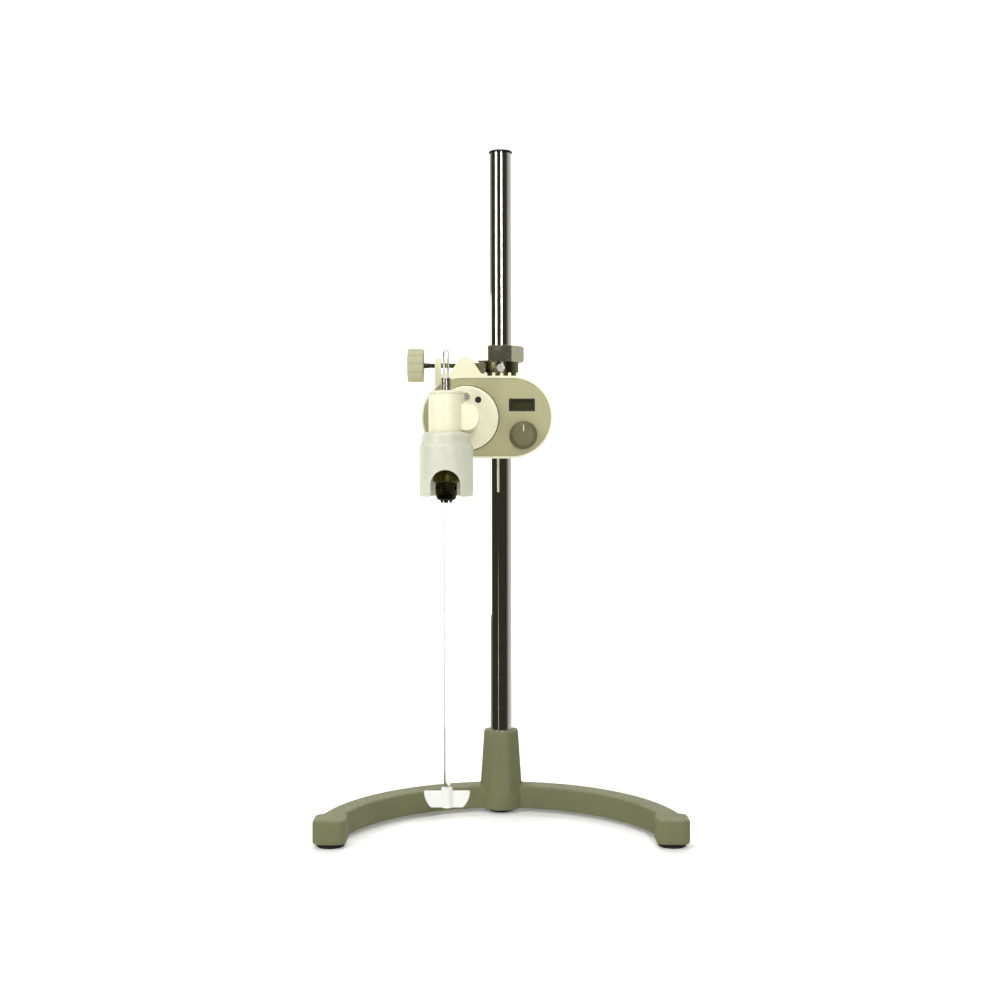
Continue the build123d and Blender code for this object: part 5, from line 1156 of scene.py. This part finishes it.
class GearHeadOperator(bpy.types.Operator):
    """Make the gear head: flange disc, worm hub and spindle barrel in one casting, with its cover and cap"""
    bl_idname = "stirrer.gear_head"
    bl_label = "Gear Head"

    def execute(self, context):
        spindle = middle("spindle_tube")
        self.make_casting(spindle)
        refined("flange_screw", "face_screw", "head", "screw_steel", "screw_steel", 0.25 * MM)
        self.make_plug(middle("flange_plug"))
        self.make_cover(spindle)
        self.make_cap(spindle)
        return {"FINISHED"}

    def make_casting(self, spindle):
        """Disc, hub, barrel and web under one skin, then bored for the spindle, bearings, screw and plug."""
        gear = middle("motor_shaft")
        bottom, cap_low = low("gear_housing").z, low("barrel_cap").z
        back = high("gear_housing").y
        axis = (spindle.x, spindle.y, 0)
        profile = offsets(DISC_RADIUS, 0, (-0.4, 0), (0, 0.4))
        profile += offsets(DISC_RADIUS, back - DISC_FACE_Y, (0, -1.6), (-0.5, -0.5), (-1.7, 0))
        head = turned("gear_casting", profile, (gear.x, back, gear.z), "-Y", 192)
        gather(head, hub_shape("hub", HUB_FRONT_Y, DISC_FACE_Y + MM))
        profile = offsets(BARREL_RADIUS, bottom, (-0.8, 0), (0, 0.8))
        profile += offsets(BARREL_RADIUS, cap_low, (0, -0.1))
        gather(head, turned("barrel", profile, axis, sides=160))
        gather(head, box("web", (spindle.x, spindle.y - WEB_HALF_Y, gear.z - WEB_HALF_Z),
                         (gear.x, DISC_FACE_Y + MM, gear.z + WEB_HALF_Z)))
        cast_blend(head, 0.75 * MM, 4)
        drill(head, SPINDLE_HOLE, bottom - MM, cap_low + MM, axis)
        for start, end in ((bottom - MM, bottom + 7 * MM), (cap_low - 7.1 * MM, cap_low + MM)):
            drill(head, BEARING_SEAT, start, end, axis, sides=96)
        screw, plug = middle("flange_screw"), middle("flange_plug")
        front = DISC_FACE_Y - MM
        drill(head, 4.6 * MM, front, DISC_FACE_Y + 2.2 * MM, (screw.x, 0, screw.z), "Y", 48)
        drill(head, 3.6 * MM, front, DISC_FACE_Y + 5.5 * MM, (plug.x, 0, plug.z), "Y", 40)
        smooth(head, 40)
        finish_piece(head, "head", "ivory_casting", "ivory_casting", "gear_housing")

    def make_plug(self, centre):
        """Dished black plug on a stem."""
        profile = offsets(0, 0, (2.1, 0), (2.1, 4), (3.4, 4.2), (3.4, 5.1), (3.0, 5.5), (2.2, 5.5),
                          (1.9, 4.5), (0.4, 4.5))
        plug = turned("face_plug", profile, (centre.x, high("flange_plug").y, centre.z), "-Y", 48)
        smooth(plug, 40)
        finish_piece(plug, "head", "black_plastic", "black_plastic", "flange_plug")

    def make_cover(self, spindle):
        """Cover of the worm hub, with a shallow field inside a raised rim."""
        cover = hub_shape("hub_plate", low("hub_cover").y, high("hub_cover").y)
        push_faces(cover, faces_front, (0, 0.35 * MM, 0), inset=1.3 * MM)
        drill(cover, BARREL_RADIUS + 0.2 * MM, 0.42, 0.49, (spindle.x, spindle.y, 0), sides=128)
        soften(cover, 0.3 * MM, 3, 35)
        finish_piece(cover, "head", "ivory_shell", "ivory_shell", "hub_cover")

    def make_cap(self, spindle):
        """Lid of the barrel with a raised rim and a bore for the spindle."""
        bottom, top = low("barrel_cap").z, high("barrel_cap").z
        profile = offsets(BARREL_RADIUS, bottom, (0, 0.15))
        profile += offsets(BARREL_RADIUS, top, (0, -1.6), (-0.45, -0.5), (-1.6, 0))
        profile += offsets(LID_BORE, top, (4, 0), (3.2, -0.5), (0.4, -0.5), (0, -0.9)) + [(LID_BORE, bottom)]
        profile += offsets(BARREL_RADIUS, bottom, (-0.15, 0), (0, 0.15))
        cap = turned("barrel_lid", profile, (spindle.x, spindle.y, 0), sides=160, hollow=True)
        smooth(cap, 35)
        finish_piece(cap, "head", "ivory_shell", "ivory_shell", "barrel_cap")


# ------------------------------------------------------------------ chuck and guard
SPINDLE_RADIUS = 5.5 * MM
SPINDLE_BORE = 3.85 * MM
GUARD_COLLAR_RADIUS = 19.05 * MM
GUARD_COLLAR_HEIGHT = 12 * MM
GUARD_NECK_RADIUS = 26.5 * MM
GUARD_SKIRT_RADIUS = 29.3 * MM
GUARD_WALL = 2.2 * MM
GUARD_STEP_Z = 426 * MM
GUARD_SHOULDER_WIDTH = 6.8 * MM
GUARD_SHOULDER_HEIGHT = 4.6 * MM
GUARD_SHOULDER_POINTS = 9
ARCH_HALF = 16 * MM
ARCH_TOP_Z = 400 * MM
ARCH_REACH = 35 * MM


class ChuckOperator(bpy.types.Operator):
    """Make the spindle, the three-jaw keyed chuck and the milky guard round it"""
    bl_idname = "stirrer.chuck"
    bl_label = "Chuck and Guard"

    def execute(self, context):
        refined("chuck_body", "chuck_core", "spindle", "chuck_steel", "chuck_steel", 0.3 * MM)
        refined("chuck_sleeve", "toothed_sleeve", "chuck_sleeve", "sleeve_brass", "chuck_steel", 0.25 * MM)
        for index in (1, 2, 3):
            node = "chuck_jaw_%d" % index
            refined(node, "jaw_%d" % index, node, "chuck_steel", "chuck_steel", 0.2 * MM)
        self.make_spindle(middle("spindle_tube"))
        self.make_guard(middle("guard_ring"))
        return {"FINISHED"}

    def make_spindle(self, centre):
        """Hollow spindle with a turned groove below its chamfered end."""
        bottom, top = low("spindle_tube").z, high("spindle_tube").z
        profile = offsets(SPINDLE_RADIUS, bottom, (0, 0.3))
        profile += offsets(SPINDLE_RADIUS, top, (0, -5.2), (-0.4, -4.9), (-0.4, -4.2), (0, -3.9), (0, -0.6),
                           (-0.6, 0))
        profile += offsets(SPINDLE_BORE, top, (0.3, 0), (0, -0.3)) + [(SPINDLE_BORE, bottom)]
        profile += offsets(SPINDLE_RADIUS, bottom, (-0.3, 0), (0, 0.3))
        tube = turned("hollow_spindle", profile, (centre.x, centre.y, 0), sides=96, hollow=True)
        smooth(tube, 35)
        finish_piece(tube, "spindle", "spindle_steel", "spindle_steel", "spindle_tube")

    def guard_profile(self, bottom, top):
        """Section of the guard: down its outside from the collar, and back up inside its wall."""
        collar, neck, skirt = GUARD_COLLAR_RADIUS, GUARD_NECK_RADIUS, GUARD_SKIRT_RADIUS
        step, collar_low = GUARD_STEP_Z, top - GUARD_COLLAR_HEIGHT
        profile = offsets(collar, top, (0.4, 0))
        for share in range(GUARD_SHOULDER_POINTS):
            turn = share * pi / 16
            profile.append((neck - GUARD_SHOULDER_WIDTH * (1 - sin(turn)),
                            top - GUARD_SHOULDER_HEIGHT * (1 - cos(turn))))
        profile += offsets(neck, step, (0, 4.4), (0.25, 3.3))
        profile += offsets(skirt, step, (-0.9, 0.7), (-0.2, -0.3), (0, -1.4))
        profile += offsets(skirt, bottom, (0, 5.2), (-0.35, 4.7), (-0.35, 0.5), (-0.8, 0))
        profile += offsets(skirt - GUARD_WALL, bottom, (0.4, 0), (0, 0.5))
        profile += offsets(skirt - GUARD_WALL, step, (0, -1.2)) + offsets(neck - GUARD_WALL, step, (0, 2))
        profile += offsets(neck - GUARD_WALL, top, (0, -7.0), (-0.4, -6.6))
        profile += offsets(collar, top, (4.2, -6.6))
        profile += offsets(collar, collar_low, (4.2, 0.4), (3.8, 0), (0.3, 0), (0, 0.3))
        return profile + offsets(collar, top, (0, -0.4), (0.4, 0))

    def make_guard(self, centre):
        """Moulded guard: a stepped bell with a collar that grips the barrel and an arch open to the front."""
        bottom, top = low("chuck_guard").z, high("chuck_guard").z
        place = (centre.x, centre.y, 0)
        guard = turned("guard_bell", self.guard_profile(bottom, top), place, sides=192, hollow=True)
        spring = ARCH_TOP_Z - ARCH_HALF
        front = centre.y - ARCH_REACH
        arch = cylinder("arch", ARCH_HALF, front, centre.y, (centre.x, 0, spring), "Y", 96)
        join(arch, box("arch_foot", (centre.x - ARCH_HALF, front, bottom - 5 * MM),
                       (centre.x + ARCH_HALF, centre.y, spring)))
        cut(guard, arch)
        soften(guard, 0.45 * MM, 3, 40)
        finish_piece(guard, "chuck_guard", "guard_milky", "guard_milky", "chuck_guard")


# ------------------------------------------------------------------ rod and blade
ROD_RADIUS = 3.5 * MM
ROD_END_TURNS = (0.12, 0.4, 0.7, 1.0, 1.3)
BLADE_RADIUS = 25 * MM
BLADE_HEIGHT = 18 * MM
BLADE_HALF = 2 * MM
BLADE_CUTTER = 40 * MM


class RodOperator(bpy.types.Operator):
    """Make the glass stirring rod with its half-moon blade"""
    bl_idname = "stirrer.rod"
    bl_label = "Rod and Blade"

    def execute(self, context):
        centre = middle("stirring_rod")
        bottom, top = low("stirring_rod").z, high("stirring_rod").z
        radius = ROD_RADIUS
        rounding = [(radius * sin(turn), radius * (1 - cos(turn))) for turn in ROD_END_TURNS]
        profile = [(r, bottom + 0.3 * h) for r, h in rounding] + [(radius, bottom + radius)]
        profile += [(radius, top - radius)] + [(r, top - h) for r, h in reversed(rounding)]
        rod = turned("glass_rod", profile, (centre.x, centre.y, 0), sides=64)
        smooth(rod, 60)
        finish_piece(rod, "stirring_rod", "rod_glass", "rod_glass", "stirring_rod")
        self.make_blade(centre)
        return {"FINISHED"}

    def make_blade(self, centre):
        """Half-moon blade with its round edge down, and the hub that grips the rod."""
        bottom, top = low("stirrer_blade").z, high("stirrer_blade").z
        chord = bottom + BLADE_HEIGHT
        x, y, reach = centre.x, centre.y, BLADE_CUTTER
        blade = cylinder("half_moon", BLADE_RADIUS, y - BLADE_HALF, y + BLADE_HALF, (x, 0, chord), "Y", 128)
        for start, end in ((chord, chord + reach), (bottom - reach, bottom)):
            cut(blade, box("beyond", (x - reach, y - reach, start), (x + reach, y + reach, end)))
        soften(blade, 0.9 * MM, 4, 50)
        profile = offsets(0, bottom, (5.4, 0), (6, 0.6))
        profile += offsets(0, top, (6, -1.2), (5.2, -0.3), (4.4, 0), (3.6, 0))
        join(blade, turned("hub", profile, (x, y, 0), sides=64))
        smooth(blade, 35)
        finish_piece(blade, "stirring_rod", "blade_white", "blade_white", "stirrer_blade")


NODE_FINISHES = {
    "cast_paint": ["base_casting"],
    "foot_rubber": ["foot_left", "foot_right", "foot_rear"],
    "post_chrome": ["post"],
    "black_plastic": ["post_cap", "speed_pot", "switch_frame", "power_rocker", "cable_gland",
                      "display_module", "flange_plug"],
    "screw_steel": ["post_set_screw", "rod_set_screw", "swivel_lock_screw", "housing_screws",
                    "bracket_screws", "flange_screw", "pot_shaft"],
    "nickel_plate": ["clamp_collet", "boss_head", "clamp_nut", "support_rod"],
    "ivory_shell": ["rear_housing", "barrel_cap", "hub_cover"],
    "ivory_casting": ["gear_housing", "top_bracket"],
    "khaki_panel": ["front_panel"],
    "chassis_alloy": ["chassis_plate"],
    "board_green": ["circuit_board"],
    "display_lcd": ["display_glass"],
    "knob_grey": ["speed_knob"],
    "thumb_beige": ["thumb_knob"],
    "thread_steel": ["thumb_screw"],
    "motor_steel": ["motor", "spindle_bearing_lower", "spindle_bearing_upper", "worm_bearing"],
    "worm_steel": ["motor_shaft", "worm"],
    "wheel_bronze": ["worm_wheel"],
    "spindle_steel": ["spindle_tube"],
    "chuck_steel": ["chuck_body", "chuck_sleeve", "jaw_nut", "chuck_jaw_1", "chuck_jaw_2", "chuck_jaw_3"],
    "guard_milky": ["chuck_guard", "guard_ring"],
    "rod_glass": ["stirring_rod"],
    "blade_white": ["stirrer_blade"],
}


# ------------------------------------------------------------------ stage
ROOM_FRONT = (0.045, 0.043, 0.028, 1)
ROOM_BACK = (0.80, 0.80, 0.76, 1)
BACKGROUND = (1.2, 1.2, 1.17, 1)
CAMERA_X = -0.9 * MM
SWEEP_SIZE = 7
SWEEP_HEIGHT = 3.5
SWEEP_ROUND = 1.2
SWEEP_EDGE_Y = 3                # the sweep's back edge lies beyond this
LIGHTS = (
    # name, place, target, width, height, power
    ("key_light", (-1.45, -1.3, 1.2), (0, 0, 0.45), 0.55, 1.1, 16),
    ("front_light", (0.35, -1.95, 1.2), (0, 0, 0.42), 0.16, 1.1, 17),
    ("left_light", (-1.25, 0.85, 0.42), (0, 0, 0.42), 0.4, 0.72, 1.8),
    ("top_light", (-0.2, -0.3, 1.9), (0, -0.1, 0.3), 1.1, 0.9, 8),
)
BACKDROP_LIGHT = ("backdrop_light", (0, 1.4, 2.6), (0, 3.4, 0.7), 4.5, 0.8, 185)


def aim_at(item, target):
    direction = Vector(target) - item.location
    item.rotation_euler = direction.to_track_quat("-Z", "Y").to_euler()


def softbox(name, place, target, width, height, power):
    """Rectangular area light aimed at a point."""
    deselect_all()
    bpy.ops.object.light_add(type="AREA", location=place)
    lamp = bpy.context.active_object
    lamp.name = name
    lamp.data.shape = "RECTANGLE"
    lamp.data.size = width
    lamp.data.size_y = height
    lamp.data.energy = power
    aim_at(lamp, target)
    return lamp


def studio_world():
    """Bright room behind the object on its right, dim room in front of it."""
    world = bpy.data.worlds.new("studio")
    bpy.context.scene.world = world
    world.use_nodes = True
    tree = world.node_tree
    background = tree.nodes["Background"]
    place = add_node(tree, "ShaderNodeTexCoord")
    split = add_node(tree, "ShaderNodeSeparateXYZ")
    tree.links.new(place.outputs["Generated"], split.inputs[0])
    sideways = arithmetic(tree, "MULTIPLY", split.outputs["X"], 0.35)
    behind = map_range(tree, arithmetic(tree, "ADD", split.outputs["Y"], sideways), -0.15, 0.75)
    above = map_range(tree, split.outputs["Z"], 0.35, 0.9)
    share = arithmetic(tree, "MAXIMUM", behind, arithmetic(tree, "MULTIPLY", above, 0.5))
    room = mix_colour(tree, share, ROOM_FRONT, ROOM_BACK)
    seen = add_node(tree, "ShaderNodeLightPath").outputs["Is Camera Ray"]
    tree.links.new(mix_colour(tree, seen, room, BACKGROUND), background.inputs["Color"])
    background.inputs["Strength"].default_value = 0.8


class StageOperator(bpy.types.Operator):
    """Make the camera, the soft studio light and the pale sweep that the stirrer stands on"""
    bl_idname = "stirrer.stage"
    bl_label = "Stage"

    def execute(self, context):
        self.make_camera(context, context.scene.stirrer_stage)
        context.scene.view_settings.view_transform = "Standard"
        studio_world()
        for light in LIGHTS:
            softbox(*light)
        softbox(*BACKDROP_LIGHT).visible_glossy = False
        self.make_sweep(context)
        return {"FINISHED"}

    def make_camera(self, context, setup):
        """Camera in front of the post, looking slightly down."""
        deselect_all()
        bpy.ops.object.camera_add(location=(CAMERA_X, -setup.distance, setup.height))
        camera = context.active_object
        camera.name = "camera"
        camera.data.sensor_width = 36
        camera.data.lens = setup.focal
        camera.data.clip_start = 0.01
        camera.rotation_mode = "XYZ"
        camera.rotation_euler = (pi / 2 - setup.pitch, setup.roll, 0)
        context.scene.camera = camera

    def make_sweep(self, context):
        """Pale paper that runs from the floor up behind the stirrer in one curve."""
        bpy.ops.mesh.primitive_plane_add(size=SWEEP_SIZE, location=ORIGIN)
        sweep = context.active_object
        sweep.name = "paper_sweep"
        apply_place(sweep)
        select_edges(sweep, lambda p, q: min(p.y, q.y) > SWEEP_EDGE_Y)
        bpy.ops.object.mode_set(mode="EDIT")
        bpy.ops.mesh.extrude_region_move(TRANSFORM_OT_translate={"value": (0, 0, SWEEP_HEIGHT)})
        leave_edit()
        bevel_edges(sweep, lambda p, q: min(p.y, q.y) > SWEEP_EDGE_Y and max(p.z, q.z) < 0.1, SWEEP_ROUND, 24)
        smooth(sweep, 60)
        material, tree, shader = start_material("paper")
        tone = use_group(tree, "surface_tone", Colour=(0.9, 0.9, 0.9, 1), Shade=(0.87, 0.87, 0.87, 1),
                         Drift=0.4, Dust_Amount=0.0, Scale=3.0)
        tree.links.new(tone.outputs["Colour"], shader.inputs["Base Color"])
        shader.inputs["Roughness"].default_value = 0.9
        shader.inputs["Emission Color"].default_value = (1, 1, 0.98, 1)
        shader.inputs["Emission Strength"].default_value = 0.16
        sweep.data.materials.append(material)
        sweep.visible_glossy = False


class FinishesOperator(bpy.types.Operator):
    """Make the procedural finishes and put them on the machined and moulded nodes"""
    bl_idname = "stirrer.finishes"
    bl_label = "Finishes"

    def execute(self, context):
        build_materials(context.scene.stirrer_finish)
        for finish, nodes in NODE_FINISHES.items():
            for node in nodes:
                dress(node, finish)
        missing = [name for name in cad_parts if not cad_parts[name].data.materials
                   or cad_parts[name].data.materials[0] not in FINISHES.values()]
        if missing:
            raise RuntimeError("no finish for " + ", ".join(missing))
        return {"FINISHED"}


class StirrerPanel(bpy.types.Panel):
    """Lists the pieces of the stirrer"""
    bl_idname = "VIEW3D_PT_stirrer"
    bl_label = "Overhead Stirrer"
    bl_space_type = "VIEW_3D"
    bl_region_type = "UI"
    bl_category = "Stirrer"

    def draw(self, context):
        for operator in OPERATORS:
            self.layout.operator(operator.bl_idname)
        for group, kind in SETTINGS:
            settings = getattr(context.scene, group)
            column = self.layout.column()
            for name in settings.bl_rna.properties.keys():
                if name not in ("rna_type", "name"):
                    column.prop(settings, name)


SETTINGS = (
    ("stirrer_finish", FinishSettings),
    ("stirrer_edges", EdgeSettings),
    ("stirrer_stage", StageSettings),
)
OPERATORS = (
    FinishesOperator, StageOperator, BaseOperator, PostOperator, ClampOperator, HousingOperator,
    PanelOperator, BracketOperator, GearHeadOperator, ChuckOperator, RodOperator,
)


def register():
    for name, settings in SETTINGS:
        bpy.utils.register_class(settings)
        setattr(bpy.types.Scene, name, bpy.props.PointerProperty(type=settings))
    for item in OPERATORS + (StirrerPanel,):
        bpy.utils.register_class(item)


def unregister():
    for item in reversed(OPERATORS + (StirrerPanel,)):
        bpy.utils.unregister_class(item)
    for name, settings in SETTINGS:
        delattr(bpy.types.Scene, name)
        bpy.utils.unregister_class(settings)


def main():
    register()
    for operator in OPERATORS:
        group, name = operator.bl_idname.split(".")
        result = getattr(getattr(bpy.ops, group), name)()
        if result != {"FINISHED"}:
            raise RuntimeError(operator.bl_idname + " did not finish")
    deselect_all()


if __name__ == "__main__":
    main()
